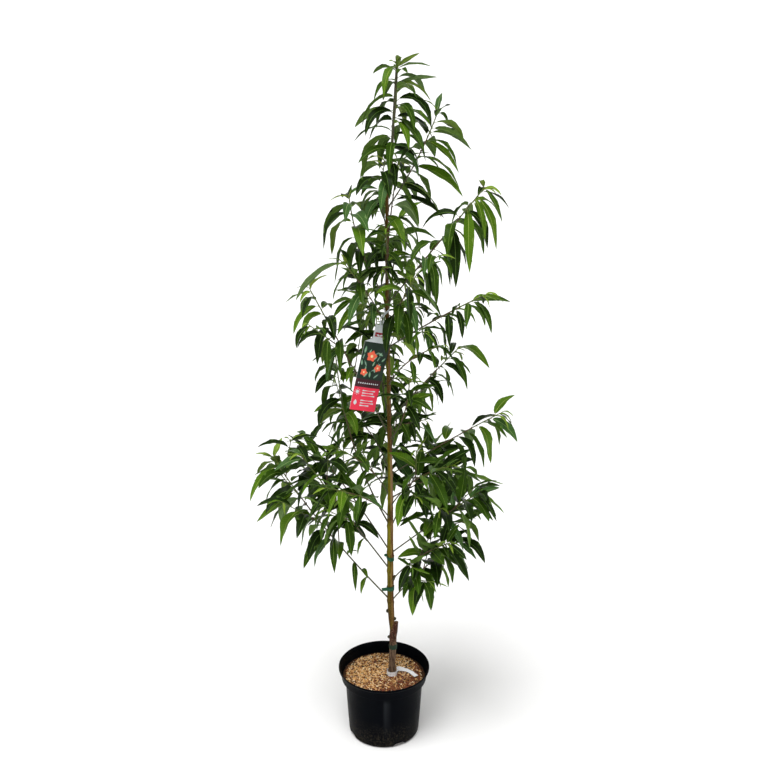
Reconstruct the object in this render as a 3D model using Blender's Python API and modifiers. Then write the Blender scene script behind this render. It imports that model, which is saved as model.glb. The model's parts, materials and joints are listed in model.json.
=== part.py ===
"""Young dwarf peach tree in a round black nursery pot.

Metres, +Z up. The origin is the centre of the pot's flat underside, the front looks along +Y
and +X is to the right. The stem, the side shoots and their leaves follow named sizes: each
side shoot is one row of SHOOTS, and its leaves stand on it by a seeded spiral rule.
"""
import math
import random
from collections import namedtuple

import bmesh
import bpy
from mathutils import Matrix, Vector
from mathutils.bvhtree import BVHTree

NAME = "potted_peach_tree"
GAP = 0.0003

# Pot: a thin shell with a wide collar, a rolled lip and four drainage notches.
POT_HEIGHT = 0.200
POT_WALL = 0.0016
LIP_RADIUS = 0.1250
LIP_HEIGHT = 0.0065
COLLAR_TOP_RADIUS = 0.1207
COLLAR_FOOT_RADIUS = 0.1168
COLLAR_FOOT = 0.1650
SHOULDER_RADIUS = 0.1068
FOOT_RADIUS = 0.0972
FLAT_RADIUS = 0.0900
POT_STEPS = 32
NOTCHES = 4
NOTCH_START = 26.0
NOTCH_WIDTH = 0.038
NOTCH_HEIGHT = 0.012

# Soil with a loose bark mulch on top.
SOIL_TOP = 0.1710
MULCH_RELIEF = 0.0035

# Stem: height, sideways lean and radius at each station, from the mulch to the shoot tip.
Station = namedtuple("Station", "height lean radius")
STEM = (
    Station(0.179, 0.0222, 0.0104),
    Station(0.200, 0.0219, 0.0092),
    Station(0.263, 0.0247, 0.0094),
    Station(0.290, 0.0243, 0.0100),
    Station(0.310, 0.0232, 0.0072),
    Station(0.340, 0.0207, 0.0080),
    Station(0.371, 0.0190, 0.0088),
    Station(0.402, 0.0176, 0.0087),
    Station(0.542, 0.0165, 0.0086),
    Station(0.650, 0.0164, 0.0080),
    Station(0.715, 0.0167, 0.0067),
    Station(0.890, 0.0141, 0.0056),
    Station(0.971, 0.0127, 0.0053),
    Station(1.103, 0.0100, 0.0050),
    Station(1.205, 0.0074, 0.0047),
    Station(1.475, 0.0072, 0.0040),
    Station(1.557, 0.0177, 0.0032),
    Station(1.592, 0.0188, 0.0028),
    Station(1.649, 0.0220, 0.0024),
    Station(1.701, 0.0279, 0.0020),
    Station(1.765, 0.0300, 0.0014),
    Station(1.785, 0.0300, 0.0010),
)
FLARE_RADIUS = 0.0126
TRUNK_FOOT = SOIL_TOP + GAP
TRUNK_TIP = 1.530
SHOOT_TIP = 1.785

# Shoots: height on the stem (m), heading and its turn (degrees), length (m), rise at the foot
# and at the tip (degrees), bare share, leaves, leaf length (m), sag (degrees), leaf width as a
# share of its length, side twigs and seed.
Shoot = namedtuple("Shoot", "name height heading turn length rise tip_rise bare leaves blade sag wide forks seed")
SHOOTS = (
    Shoot("right_1", 1.454, 15, -9, 0.256, 53, 70, 0.12, 17, 0.145, 86, 0.21, 0, 967),
    Shoot("right_2", 1.219, 338, -18, 0.398, 51, 48, 0.25, 22, 0.121, 124, 0.21, 1, 904),
    Shoot("right_3", 1.109, 326, -11, 0.337, 35, 28, 0.20, 18, 0.086, 90, 0.22, 1, 95),
    Shoot("right_4", 0.918, 29, -9, 0.256, 40, 41, 0.30, 15, 0.092, 83, 0.22, 1, 775),
    Shoot("right_4b", 0.863, 308, -30, 0.231, 45, 76, 0.25, 15, 0.086, 59, 0.24, 1, 204),
    Shoot("right_5", 0.766, 9, -5, 0.330, 31, 27, 0.30, 15, 0.125, 95, 0.26, 0, 597),
    Shoot("right_5b", 0.828, 75, 15, 0.217, 31, 34, 0.25, 14, 0.109, 66, 0.26, 1, 717),
    Shoot("right_5c", 0.675, 311, 3, 0.274, 57, 24, 0.30, 15, 0.105, 48, 0.27, 2, 790),
    Shoot("right_5d", 0.700, 29, 26, 0.290, 19, -20, 0.25, 17, 0.123, 98, 0.27, 2, 459),
    Shoot("right_6", 0.540, 342, -7, 0.329, 43, 41, 0.30, 20, 0.127, 79, 0.28, 3, 997),
    Shoot("right_7", 0.455, 320, 4, 0.260, 55, 30, 0.35, 16, 0.100, 16, 0.28, 2, 832),
    Shoot("right_8", 0.396, 342, 6, 0.277, 55, 41, 0.30, 14, 0.103, 84, 0.28, 2, 230),
    Shoot("right_9", 0.610, 60, -4, 0.296, 43, 27, 0.30, 15, 0.115, 28, 0.28, 2, 559),
    Shoot("left_1", 1.404, 154, -6, 0.167, 71, 106, 0.12, 13, 0.123, 124, 0.21, 0, 169),
    Shoot("left_2", 1.229, 188, -20, 0.278, 57, 84, 0.25, 17, 0.135, 120, 0.21, 0, 490),
    Shoot("left_3", 1.154, 216, -35, 0.214, 65, 49, 0.20, 14, 0.108, 85, 0.21, 1, 876),
    Shoot("left_4", 0.874, 176, -1, 0.434, 63, 62, 0.40, 19, 0.113, 118, 0.23, 2, 281),
    Shoot("left_4b", 1.025, 106, -30, 0.209, 59, 49, 0.20, 14, 0.083, 133, 0.22, 1, 258),
    Shoot("left_5a", 0.621, 158, -20, 0.500, 56, 85, 0.50, 20, 0.108, 105, 0.26, 1, 225),
    Shoot("left_5b", 0.703, 204, -6, 0.219, 66, 28, 0.35, 13, 0.085, 51, 0.26, 1, 517),
    Shoot("left_6", 0.401, 188, -35, 0.511, 50, 52, 0.37, 24, 0.122, 89, 0.28, 4, 62),
    Shoot("left_7", 0.491, 206, -32, 0.419, 57, 55, 0.40, 20, 0.125, 89, 0.27, 3, 960),
    Shoot("left_7b", 0.545, 158, -9, 0.392, 55, 41, 0.35, 17, 0.101, 60, 0.27, 3, 33),
    Shoot("front_1", 1.280, 272, -8, 0.165, 52, 65, 0.15, 13, 0.088, 79, 0.21, 1, 883),
    Shoot("front_2", 1.170, 294, 16, 0.195, 41, 56, 0.15, 14, 0.118, 85, 0.21, 1, 173),
    Shoot("front_3", 1.010, 294, 25, 0.266, 49, 22, 0.20, 13, 0.067, 71, 0.23, 1, 260),
    Shoot("front_4", 0.640, 245, -43, 0.273, 51, 18, 0.35, 14, 0.091, 68, 0.26, 2, 472),
    Shoot("back_1", 1.330, 84, -22, 0.249, 62, 71, 0.15, 14, 0.139, 104, 0.21, 1, 655),
    Shoot("back_2", 1.190, 80, 5, 0.305, 48, 36, 0.18, 15, 0.137, 101, 0.21, 1, 763),
    Shoot("back_3", 1.050, 113, -6, 0.273, 49, 37, 0.20, 16, 0.114, 77, 0.23, 2, 656),
    Shoot("back_4", 0.910, 107, -16, 0.324, 50, 42, 0.22, 16, 0.097, 100, 0.24, 2, 927),
    Shoot("back_5", 0.770, 110, 19, 0.326, 37, -1, 0.25, 16, 0.104, 76, 0.26, 3, 653),
    Shoot("back_6", 0.660, 93, -9, 0.320, 31, 29, 0.30, 15, 0.112, 68, 0.26, 2, 943),
    Shoot("leader", 1.535, 264, 0, 0.000, 94, 80, 0.02, 30, 0.129, 115, 0.19, 0, 129),
)
PATH_STEPS = 24
BOUGH_SHARE = 0.9
BOUGH_LEAST = 0.075
FORK_LEAVES = 5
SPIRAL = 144.0
STEEPEST = -1.45
LEAF_TRIES = 6
LEAF_MARGIN = 0.0007
KEEL_DEPTH = 0.15


def colour(code):
    """Linear colour of an sRGB hex code."""
    parts = [int(code[i:i + 2], 16) / 255 for i in (0, 2, 4)]
    return [c / 12.92 if c <= 0.04045 else ((c + 0.055) / 1.055) ** 2.4 for c in parts] + [1.0]


def material(name, code, roughness):
    found = bpy.data.materials.get(name)
    if found:
        return found
    made = bpy.data.materials.new(name)
    made.use_nodes = True
    shader = made.node_tree.nodes["Principled BSDF"]
    shader.inputs["Base Color"].default_value = colour(code)
    shader.inputs["Roughness"].default_value = roughness
    shader.inputs["Metallic"].default_value = 0.0
    return made


def new_collection(name):
    made = bpy.data.collections.new(name)
    bpy.context.scene.collection.children.link(made)
    return made


def add_object(name, mesh, group, look=None):
    made = bpy.data.objects.new(name, mesh)
    group.objects.link(made)
    if look:
        mesh.materials.clear()
        mesh.materials.append(look)
    return made


def mesh_of(obj):
    """A new mesh from the object as its modifiers leave it."""
    bpy.context.view_layer.update()
    seen = obj.evaluated_get(bpy.context.evaluated_depsgraph_get())
    return bpy.data.meshes.new_from_object(seen)


def loft_mesh(name, rings, cyclic=False):
    """Triangles through rings of equally many points; a ring of one point is a tip."""
    made = bpy.data.meshes.new(name)
    shape = bmesh.new()
    rows = [[shape.verts.new(point) for point in ring] for ring in rings]
    spans = len(rows) if cyclic else len(rows) - 1
    for number in range(spans):
        low = rows[number]
        high = rows[(number + 1) % len(rows)]
        count = max(len(low), len(high))
        for side in range(count):
            after = (side + 1) % count
            if len(low) == 1:
                shape.faces.new((low[0], high[after], high[side]))
            elif len(high) == 1:
                shape.faces.new((low[side], low[after], high[0]))
            else:
                shape.faces.new((low[side], low[after], high[after]))
                shape.faces.new((low[side], high[after], high[side]))
    if not cyclic:
        for end in (rows[0], rows[-1]):
            if len(end) > 1:
                shape.faces.new(tuple(end))
    bmesh.ops.recalc_face_normals(shape, faces=shape.faces)
    shape.to_mesh(made)
    shape.free()
    return made


def turned(name, profile, steps, group, look, cyclic=False):
    """A profile of radius and height pairs, turned round the Z axis."""
    made = bpy.data.meshes.new(name)
    edges = [(i, i + 1) for i in range(len(profile) - 1)]
    if cyclic:
        edges.append((len(profile) - 1, 0))
    made.from_pydata([(radius, 0.0, height) for radius, height in profile], edges, [])
    obj = add_object(name, made, group, look)
    screw = obj.modifiers.new("turn", "SCREW")
    screw.steps = steps
    screw.render_steps = steps
    screw.use_merge_vertices = True
    screw.merge_threshold = 0.00001
    screw.use_smooth_shade = True
    return obj


def tube_mesh(name, points, radii, resolution, group):
    """A round tube through points, with a radius at each, as a closed mesh."""
    data = bpy.data.curves.new(name, "CURVE")
    data.dimensions = "3D"
    data.twist_mode = "MINIMUM"
    data.bevel_depth = 1.0
    data.bevel_resolution = resolution
    data.use_fill_caps = True
    line = data.splines.new("POLY")
    line.points.add(len(points) - 1)
    for spot, point, radius in zip(line.points, points, radii):
        spot.co = (*point, 1.0)
        spot.radius = radius
    curve = add_object(name + "_curve", data, group)
    made = mesh_of(curve)
    bpy.data.objects.remove(curve)
    shape = bmesh.new()
    shape.from_mesh(made)
    bmesh.ops.remove_doubles(shape, verts=shape.verts, dist=0.000001)
    bmesh.ops.recalc_face_normals(shape, faces=shape.faces)
    shape.to_mesh(made)
    shape.free()
    made.name = name
    return made


def joined(obj, extras, solver="EXACT"):
    """The object and the extra objects fused into one body; the extras are removed."""
    if extras:
        group = new_collection(obj.name + "_extras")
        for extra in extras:
            for user in list(extra.users_collection):
                user.objects.unlink(extra)
            group.objects.link(extra)
        fuse = obj.modifiers.new("fuse", "BOOLEAN")
        fuse.operation = "UNION"
        fuse.operand_type = "COLLECTION"
        fuse.collection = group
        fuse.solver = solver
        looks = list(obj.data.materials)
        made = mesh_of(obj)
        obj.modifiers.clear()
        obj.data = made
        made.materials.clear()
        for look in looks:
            made.materials.append(look)
        for extra in extras:
            bpy.data.objects.remove(extra)
        bpy.data.collections.remove(group)
    return obj


def stem_value(height, field):
    """Lean or radius of the stem at a height, straight between its stations."""
    for low, high in zip(STEM, STEM[1:]):
        if height <= high.height:
            share = max(0.0, (height - low.height) / (high.height - low.height))
            return getattr(low, field) + (getattr(high, field) - getattr(low, field)) * share
    return getattr(STEM[-1], field)


def stem_point(height):
    return Vector((stem_value(height, "lean"), 0.0, height))


def shoot_path(shoot):
    """Points along a shoot's axis, from the stem's axis to the shoot's tip."""
    if shoot.length == 0.0:
        span = SHOOT_TIP - shoot.height
        return [stem_point(shoot.height + span * i / PATH_STEPS) for i in range(PATH_STEPS + 1)]
    points = [stem_point(shoot.height)]
    for step in range(PATH_STEPS):
        share = (step + 0.5) / PATH_STEPS
        heading = math.radians(shoot.heading + shoot.turn * share)
        rise = math.radians(shoot.rise + (shoot.tip_rise - shoot.rise) * share)
        ahead = Vector((math.cos(rise) * math.cos(heading), math.cos(rise) * math.sin(heading), math.sin(rise)))
        points.append(points[-1] + ahead * (shoot.length / PATH_STEPS))
    return points


def on_path(points, place):
    """Point and direction at a share of a path."""
    spot = min(int(place * PATH_STEPS), PATH_STEPS - 1)
    ahead = points[spot + 1] - points[spot]
    return points[spot] + ahead * (place * PATH_STEPS - spot), ahead.normalized()


def across(ahead):
    """Level side direction and upper side direction of a limb."""
    side = ahead.cross(Vector((0.0, 0.0, 1.0)))
    side = side.normalized() if side.length > 0.000001 else Vector((1.0, 0.0, 0.0))
    return side, side.cross(ahead)


def twig_radius(shoot, place):
    if shoot.length == 0.0:
        return stem_value(shoot.height + (SHOOT_TIP - shoot.height) * place, "radius") + 0.0006
    foot = 0.0020 + 0.0022 * shoot.length
    return foot + (0.0016 - foot) * place


Leaf = namedtuple("Leaf", "base ahead around spread size droop sweep roll wide root")


def shoot_leaves(shoot, points):
    """Every leaf of a shoot, and the side twigs as pairs of ends."""
    rng = random.Random(shoot.seed)
    start = rng.uniform(0.0, 360.0)
    leaves = []
    forks = []

    def leaf(base, ahead, turn, share, blade, root):
        around = turn + rng.uniform(-25.0, 25.0)
        spread = rng.uniform(48.0, 72.0) - 22.0 * share
        size = blade * (0.72 + 1.25 * share - 1.4 * share * share) * rng.uniform(0.88, 1.12)
        droop = shoot.sag * rng.uniform(0.75, 1.25) * (1.0 - 0.5 * share ** 6)
        sweep = rng.uniform(-22.0, 22.0)
        roll = rng.uniform(-38.0, 38.0)
        leaves.append(Leaf(base, ahead, around, spread, size, droop, sweep, roll, shoot.wide, root))

    for number in range(shoot.leaves):
        share = (number + 0.5) / shoot.leaves
        place = shoot.bare + (1.0 - shoot.bare) * share ** 0.85
        base, ahead = on_path(points, place)
        leaf(base, ahead, start + SPIRAL * number, share, shoot.blade, twig_radius(shoot, place))
    for fork in range(shoot.forks):
        base, ahead = on_path(points, shoot.bare + (1.0 - shoot.bare) * (0.08 + 0.24 * fork))
        side, top = across(ahead)
        around = math.radians(start + 70.0 + 137.5 * fork + rng.uniform(-20.0, 20.0))
        spread = math.radians(rng.uniform(34.0, 50.0))
        out = side * math.cos(around) + top * math.sin(around)
        aim = ahead * math.cos(spread) + out * math.sin(spread)
        reach = shoot.length * (0.36 - 0.05 * fork)
        forks.append((base, base + aim * reach))
        for number in range(FORK_LEAVES):
            share = (number + 0.5) / FORK_LEAVES
            turn = start + SPIRAL * number + 60.0
            leaf(base + aim * reach * (0.15 + 0.85 * share), aim, turn, 0.3 + 0.7 * share, shoot.blade * 0.92, 0.0013)
    return leaves, forks


def blade_shape(share):
    """Half width of a leaf along its length, as a share of its greatest half width."""
    if share <= 0.07 or share >= 1.0:
        return 0.0
    return math.sin(math.pi * ((share - 0.07) / 0.93) ** 0.72) ** 0.85


def leaf_frames(leaf, shares, turn=0.0):
    """Point, direction, side and face direction of a leaf's midrib at each share of its length."""
    side, top = across(leaf.ahead)
    around = math.radians(leaf.around + turn)
    spread = math.radians(leaf.spread)
    aim = leaf.ahead * math.cos(spread) + (side * math.cos(around) + top * math.sin(around)) * math.sin(spread)
    heading = math.atan2(aim.y, aim.x)
    lift = math.asin(max(-1.0, min(1.0, aim.z)))
    droop = math.radians(leaf.droop)
    sweep = math.radians(leaf.sweep)
    roll = math.radians(leaf.roll)

    def course(share):
        rise = max(lift - droop * (1.0 - (1.0 - share) ** 1.6), STEEPEST)
        way = heading + sweep * share
        level = Vector((math.cos(way), math.sin(way), 0.0))
        return level * math.cos(rise) + Vector((0.0, 0.0, math.sin(rise))), Vector((-level.y, level.x, 0.0))

    steps = 24
    spots = [leaf.base.copy()]
    for step in range(steps):
        spots.append(spots[-1] + course((step + 0.5) / steps)[0] * (leaf.size / steps))
    frames = []
    for share in shares:
        spot = min(int(share * steps), steps - 1)
        point = spots[spot].lerp(spots[spot + 1], share * steps - spot)
        ahead, level = course(share)
        turned_side = Matrix.Rotation(roll, 3, ahead) @ level
        frames.append((point, ahead, turned_side, turned_side.cross(ahead) * -1.0))
    return frames


def leaf_rings(leaf, turn=0.0, margin=0.0, first=0.0):
    """Root point, three-point rings of two edges and the keel below, and the tip of a leaf."""
    shares = [0.22, 0.48, 0.75, 1.0] if leaf.size > 0.125 else [0.27, 0.64, 1.0]
    frames = leaf_frames(leaf, [first] + shares, turn)
    rings = []
    for share, (point, ahead, side, face) in zip([first] + shares, frames):
        if share == 1.0:
            rings.append([point + ahead * margin])
        elif share == 0.0:
            rings.append([point - ahead * (leaf.root * 0.4)])
        else:
            half = max(leaf.size * leaf.wide * 0.5 * blade_shape(share), 0.0015) + margin
            deep = max(half * 2.0 * KEEL_DEPTH, leaf.size * 0.014) + margin
            lift = face * margin
            rings.append([point - side * half + lift, point + side * half + lift, point - face * deep])
    return rings


def tree_of(mesh):
    """Search tree over a mesh's triangles."""
    return BVHTree.FromPolygons([v.co.copy() for v in mesh.vertices], [tuple(p.vertices) for p in mesh.polygons])


def shell_of(mesh):
    """Centre and radius of a ball round a mesh, and the search tree over its triangles."""
    points = [v.co for v in mesh.vertices]
    middle = sum(points, Vector()) / len(points)
    return middle, max((point - middle).length for point in points), tree_of(mesh)


class Space:
    """What already stands in the crown, so that each later leaf keeps clear of it."""

    def __init__(self):
        self.taken = []

    def add(self, owner, mesh, blade=None):
        """Takes a piece's space; leaves of its own mass keep clear of its blade only."""
        whole = shell_of(mesh)
        self.taken.append((owner, whole, shell_of(blade) if blade else whole))

    def free(self, owner, mesh, own):
        middle, reach, tree = shell_of(mesh)
        for holder, whole, blade in self.taken:
            if (holder == owner) != own:
                continue
            centre, radius, other = blade if own else whole
            if (centre - middle).length < radius + reach and tree.overlap(other):
                return False
        return True


def limb_rings(points, radii, sides, foot_plane=None):
    """Rings square to a path; the first is slid along the path onto the foot plane."""
    rings = []
    side = None
    for number, point in enumerate(points):
        before = points[max(number - 1, 0)]
        after = points[min(number + 1, len(points) - 1)]
        ahead = (after - before).normalized()
        if side is None:
            side, top = across(ahead)
        else:
            side = (side - ahead * side.dot(ahead)).normalized()
            top = side.cross(ahead)
        ring = []
        for corner in range(sides):
            angle = 2.0 * math.pi * corner / sides
            ring.append(point + (side * math.cos(angle) + top * math.sin(angle)) * radii[number])
        if number == 0 and foot_plane:
            spot, normal = foot_plane
            ring = [corner + ahead * ((spot - corner).dot(normal) / ahead.dot(normal)) for corner in ring]
        rings.append(ring)
    return rings


def limb_span(shoot, points):
    """Share of the path at which the shoot leaves the trunk's surface, and that surface."""
    if shoot.length == 0.0:
        return 0.0, None
    normal = Vector((math.cos(math.radians(shoot.heading)), math.sin(math.radians(shoot.heading)), 0.0))
    for step in range(1, 400):
        place = step / 800.0
        point, ahead = on_path(points, place)
        wide = stem_value(point.z, "radius") + GAP * 1.3
        if (point - stem_point(point.z)).dot(normal) >= wide:
            return place, (stem_point(point.z) + normal * wide, normal)
    return 0.5, None


def limb_mesh(name, shoot, points, first, last, sides, count, plane):
    places = [first + (last - first) * i / count for i in range(count + 1)]
    spots = [on_path(points, min(place, 0.99999))[0] for place in places]
    radii = [twig_radius(shoot, place) for place in places]
    return loft_mesh(name, limb_rings(spots, radii, sides, plane))


def build_pot(group):
    inner_collar = COLLAR_TOP_RADIUS - POT_WALL
    profile = [
        (0.0, POT_WALL * 2),
        (FLAT_RADIUS - 0.001, POT_WALL * 2),
        (FOOT_RADIUS - POT_WALL, 0.0100),
        (SHOULDER_RADIUS - POT_WALL, COLLAR_FOOT + 0.0006),
        (COLLAR_FOOT_RADIUS - POT_WALL, COLLAR_FOOT + 0.0030),
        (inner_collar, POT_HEIGHT - 0.0110),
        (LIP_RADIUS - 0.0022, POT_HEIGHT - 0.0015),
        (LIP_RADIUS - 0.0016, POT_HEIGHT),
        (LIP_RADIUS - 0.0006, POT_HEIGHT),
        (LIP_RADIUS, POT_HEIGHT - 0.0008),
        (LIP_RADIUS, POT_HEIGHT - LIP_HEIGHT),
        (COLLAR_TOP_RADIUS, POT_HEIGHT - 0.0110),
        (COLLAR_FOOT_RADIUS, COLLAR_FOOT + 0.0015),
        (COLLAR_FOOT_RADIUS - 0.0012, COLLAR_FOOT),
        (SHOULDER_RADIUS, COLLAR_FOOT - 0.0010),
        (FOOT_RADIUS, 0.0100),
        (FOOT_RADIUS - 0.0016, 0.0040),
        (FLAT_RADIUS, 0.0),
        (0.0, 0.0),
    ]
    pot = turned("pot", profile, POT_STEPS, group, material("pot_plastic", "14161A", 0.42))
    cutters = new_collection(NAME + "_cutters")
    for number in range(NOTCHES):
        angle = math.radians(NOTCH_START + 360.0 / NOTCHES * number)
        shape = bmesh.new()
        bmesh.ops.create_cone(shape, cap_ends=True, segments=16, radius1=1.0, radius2=1.0, depth=1.0)
        mesh = bpy.data.meshes.new("notch_cutter")
        shape.to_mesh(mesh)
        shape.free()
        stand = Matrix.Rotation(math.pi / 2, 4, "Y")
        size = Matrix.Diagonal((0.036, NOTCH_WIDTH / 2, NOTCH_HEIGHT, 1.0))
        lie = Matrix.Translation((math.cos(angle) * 0.099, math.sin(angle) * 0.099, 0.0))
        mesh.transform(lie @ Matrix.Rotation(angle, 4, "Z") @ size @ stand)
        cutter = add_object("notch_cutter_%d" % number, mesh, cutters)
        cutter.hide_render = True
        cutter.display_type = "WIRE"
    cut = pot.modifiers.new("notches", "BOOLEAN")
    cut.operation = "DIFFERENCE"
    cut.operand_type = "COLLECTION"
    cut.collection = cutters
    cut.solver = "EXACT"
    return pot


def build_soil(group):
    edge = COLLAR_FOOT_RADIUS - POT_WALL - 0.0008
    profile = [
        (0.0, SOIL_TOP),
        (0.036, SOIL_TOP),
        (0.062, SOIL_TOP),
        (0.088, SOIL_TOP),
        (edge - 0.004, SOIL_TOP),
        (edge, SOIL_TOP - 0.0024),
        (SHOULDER_RADIUS - POT_WALL - GAP * 2, COLLAR_FOOT + 0.0014),
        (FOOT_RADIUS - POT_WALL - GAP * 2, 0.0106),
        (FLAT_RADIUS - 0.001 - GAP * 2, POT_WALL * 2 + GAP),
        (0.0, POT_WALL * 2 + GAP),
    ]
    soil = turned("soil", profile, POT_STEPS, group, material("bark_mulch", "A87B45", 0.95))
    loose = soil.vertex_groups.new(name="loose_top")
    loose.add([2, 3], 1.0, "REPLACE")
    pattern = bpy.data.textures.new("mulch_relief", "CLOUDS")
    pattern.noise_scale = 0.02
    relief = soil.modifiers.new("relief", "DISPLACE")
    relief.texture = pattern
    relief.texture_coords = "LOCAL"
    relief.vertex_group = "loose_top"
    relief.direction = "Z"
    relief.mid_level = 1.0
    relief.strength = MULCH_RELIEF
    return soil


def ball_object(name, centre, radius, group, stretch=(1.0, 1.0, 1.0)):
    shape = bmesh.new()
    bmesh.ops.create_uvsphere(shape, u_segments=7, v_segments=4, radius=radius)
    mesh = bpy.data.meshes.new(name)
    shape.to_mesh(mesh)
    shape.free()
    mesh.transform(Matrix.Translation(centre) @ Matrix.Diagonal((*stretch, 1.0)))
    return add_object(name, mesh, group)


def build_trunk(group):
    heights = [TRUNK_FOOT, TRUNK_FOOT + 0.004]
    heights += [station.height for station in STEM if TRUNK_FOOT + 0.006 < station.height < TRUNK_TIP]
    heights.append(TRUNK_TIP)
    points = [stem_point(height) for height in heights]
    points[0] = Vector((points[1].x, 0.0, TRUNK_FOOT))
    radii = [stem_value(height, "radius") for height in heights]
    radii[0] = FLARE_RADIUS
    radii[1] = FLARE_RADIUS - 0.0008
    bark = material("stem_bark", "7A5A3A", 0.75)
    trunk = add_object("trunk", tube_mesh("trunk", points, radii, 3, group), group, bark)
    path = [Vector((0.0270, 0.0, 0.282)), Vector((0.0318, 0.0, 0.312)), Vector((0.0336, 0.0, 0.335))]
    stub = tube_mesh("stub", path, [0.0058, 0.0054, 0.0048], 2, group)
    extras = [add_object("stub", stub, group)]
    extras.append(ball_object("knob_low", (0.0138, -0.001, 0.289), 0.0040, group))
    extras.append(ball_object("knob_right", (0.0290, -0.001, 0.345), 0.0046, group))
    extras.append(ball_object("knob_left", (0.0095, -0.001, 0.369), 0.0042, group, (1.0, 1.0, 1.3)))
    path = [Vector((0.0190, 0.002, 0.452)), Vector((0.0290, 0.001, 0.474))]
    snag = tube_mesh("snag", path, [0.0052, 0.0040], 1, group)
    extras.append(add_object("snag", snag, group))
    return joined(trunk, extras)


def band(name, height, tall, thick, group, look, steps=12):
    """A flat band turned round the stem."""
    inner = max(stem_value(height, "radius"), stem_value(height + tall, "radius")) + GAP * 2
    profile = [
        (inner, height),
        (inner, height + tall),
        (inner + thick, height + tall),
        (inner + thick, height),
    ]
    ring = turned(name, profile, steps, group, look, cyclic=True)
    mesh = mesh_of(ring)
    ring.modifiers.clear()
    centre = stem_point(height + tall / 2)
    mesh.transform(Matrix.Translation((centre.x, 0.0, 0.0)))
    ring.data = mesh
    return ring


def strap_mesh(name, stations, thick, cyclic=False):
    """A flat strap through stations of a point and half its width as a vector."""
    rings = []
    count = len(stations)
    for number, (point, half) in enumerate(stations):
        before = stations[number - 1 if cyclic else max(number - 1, 0)][0]
        after = stations[(number + 1) % count if cyclic else min(number + 1, count - 1)][0]
        face = (after - before).cross(half).normalized() * (thick / 2)
        rings.append([point - half - face, point + half - face, point + half + face, point - half + face])
    return loft_mesh(name, rings, cyclic)


def build_ties(group):
    look = material("tie_film", "1F5F45", 0.5)
    lower = band("tie_lower", 0.4320, 0.0130, 0.0012, group, look)
    out = stem_point(0.44).x
    tail = strap_mesh("tail", [
        (Vector((out - 0.0078, -0.0060, 0.4385)), Vector((0.0, 0.0, 0.0055))),
        (Vector((out - 0.0150, -0.0120, 0.4400)), Vector((0.0005, 0.0, 0.0052))),
        (Vector((out - 0.0230, -0.0165, 0.4425)), Vector((0.0010, 0.0, 0.0040))),
    ], 0.0014)
    joined(lower, [add_object("tail", tail, group)])
    upper = band("tie_upper", 0.5190, 0.0175, 0.0012, group, look)
    knot = ball_object("knot", (stem_point(0.53).x - 0.0118, -0.003, 0.5350), 0.0040, group, (1.0, 0.8, 1.0))
    joined(upper, [knot])
    band("graft_tape", 0.2530, 0.0145, 0.0007, group, material("graft_film", "25382C", 0.6))


LABEL_FRONT = -0.0250
LABEL_LEAN = math.radians(15.3)
LABEL_YAW = math.radians(28.0)
LABEL_THICK = 0.0010
STRAP_HEIGHT = 1.2065


def build_label(group):
    """A hanging label: a body and a narrower head, on a strap loop round the stem."""
    outline = [(-0.036, -0.219), (0.036, -0.219), (0.036, -0.045), (0.017, -0.035), (0.017, 0.0), (-0.017, 0.0),
               (-0.017, -0.035), (-0.036, -0.045)]
    data = bpy.data.curves.new("label_outline", "CURVE")
    data.dimensions = "2D"
    data.fill_mode = "BOTH"
    data.extrude = LABEL_THICK / 2
    line = data.splines.new("POLY")
    line.points.add(len(outline) - 1)
    line.use_cyclic_u = True
    for spot, (x, y) in zip(line.points, outline):
        spot.co = (x, y, 0.0, 1.0)
    curve = add_object("label_curve", data, group)
    mesh = mesh_of(curve)
    bpy.data.objects.remove(curve)
    shape = bmesh.new()
    shape.from_mesh(mesh)
    bmesh.ops.remove_doubles(shape, verts=shape.verts, dist=0.000001)
    bmesh.ops.recalc_face_normals(shape, faces=shape.faces)
    shape.to_mesh(mesh)
    shape.free()
    head = Vector((-0.0050, LABEL_FRONT, 1.1730))
    hang = Matrix.Rotation(LABEL_YAW, 4, "Z") @ Matrix.Rotation(LABEL_LEAN, 4, "Y")
    mesh.transform(Matrix.Translation(head) @ hang @ Matrix.Rotation(math.pi / 2, 4, "X"))
    label = add_object("hang_label", mesh, group, material("label_card", "E6304A", 0.5))
    stem = stem_point(STRAP_HEIGHT)
    reach = stem_value(STRAP_HEIGHT, "radius") + 0.0016
    stations = []
    for step in range(9):
        angle = math.radians(-160.0 - 220.0 + 220.0 / 8 * step)
        spot = stem + Vector((math.cos(angle), math.sin(angle), 0.0)) * reach
        stations.append((spot, Vector((0.0, 0.0, 0.0028))))
    for x, back, height in ((0.0035, 0.0010, 1.1760), (0.0030, 0.0, 1.1700), (-0.0030, 0.0, 1.1700),
                            (-0.0035, 0.0010, 1.1760)):
        spot = Vector((head.x + x, head.y + x * math.tan(LABEL_YAW) + back, height))
        stations.append((spot, Vector((0.0, 0.0, 0.0028))))
    loop = add_object("strap", strap_mesh("strap", stations, 0.0009, cyclic=True), group)
    return joined(label, [loop])


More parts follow.
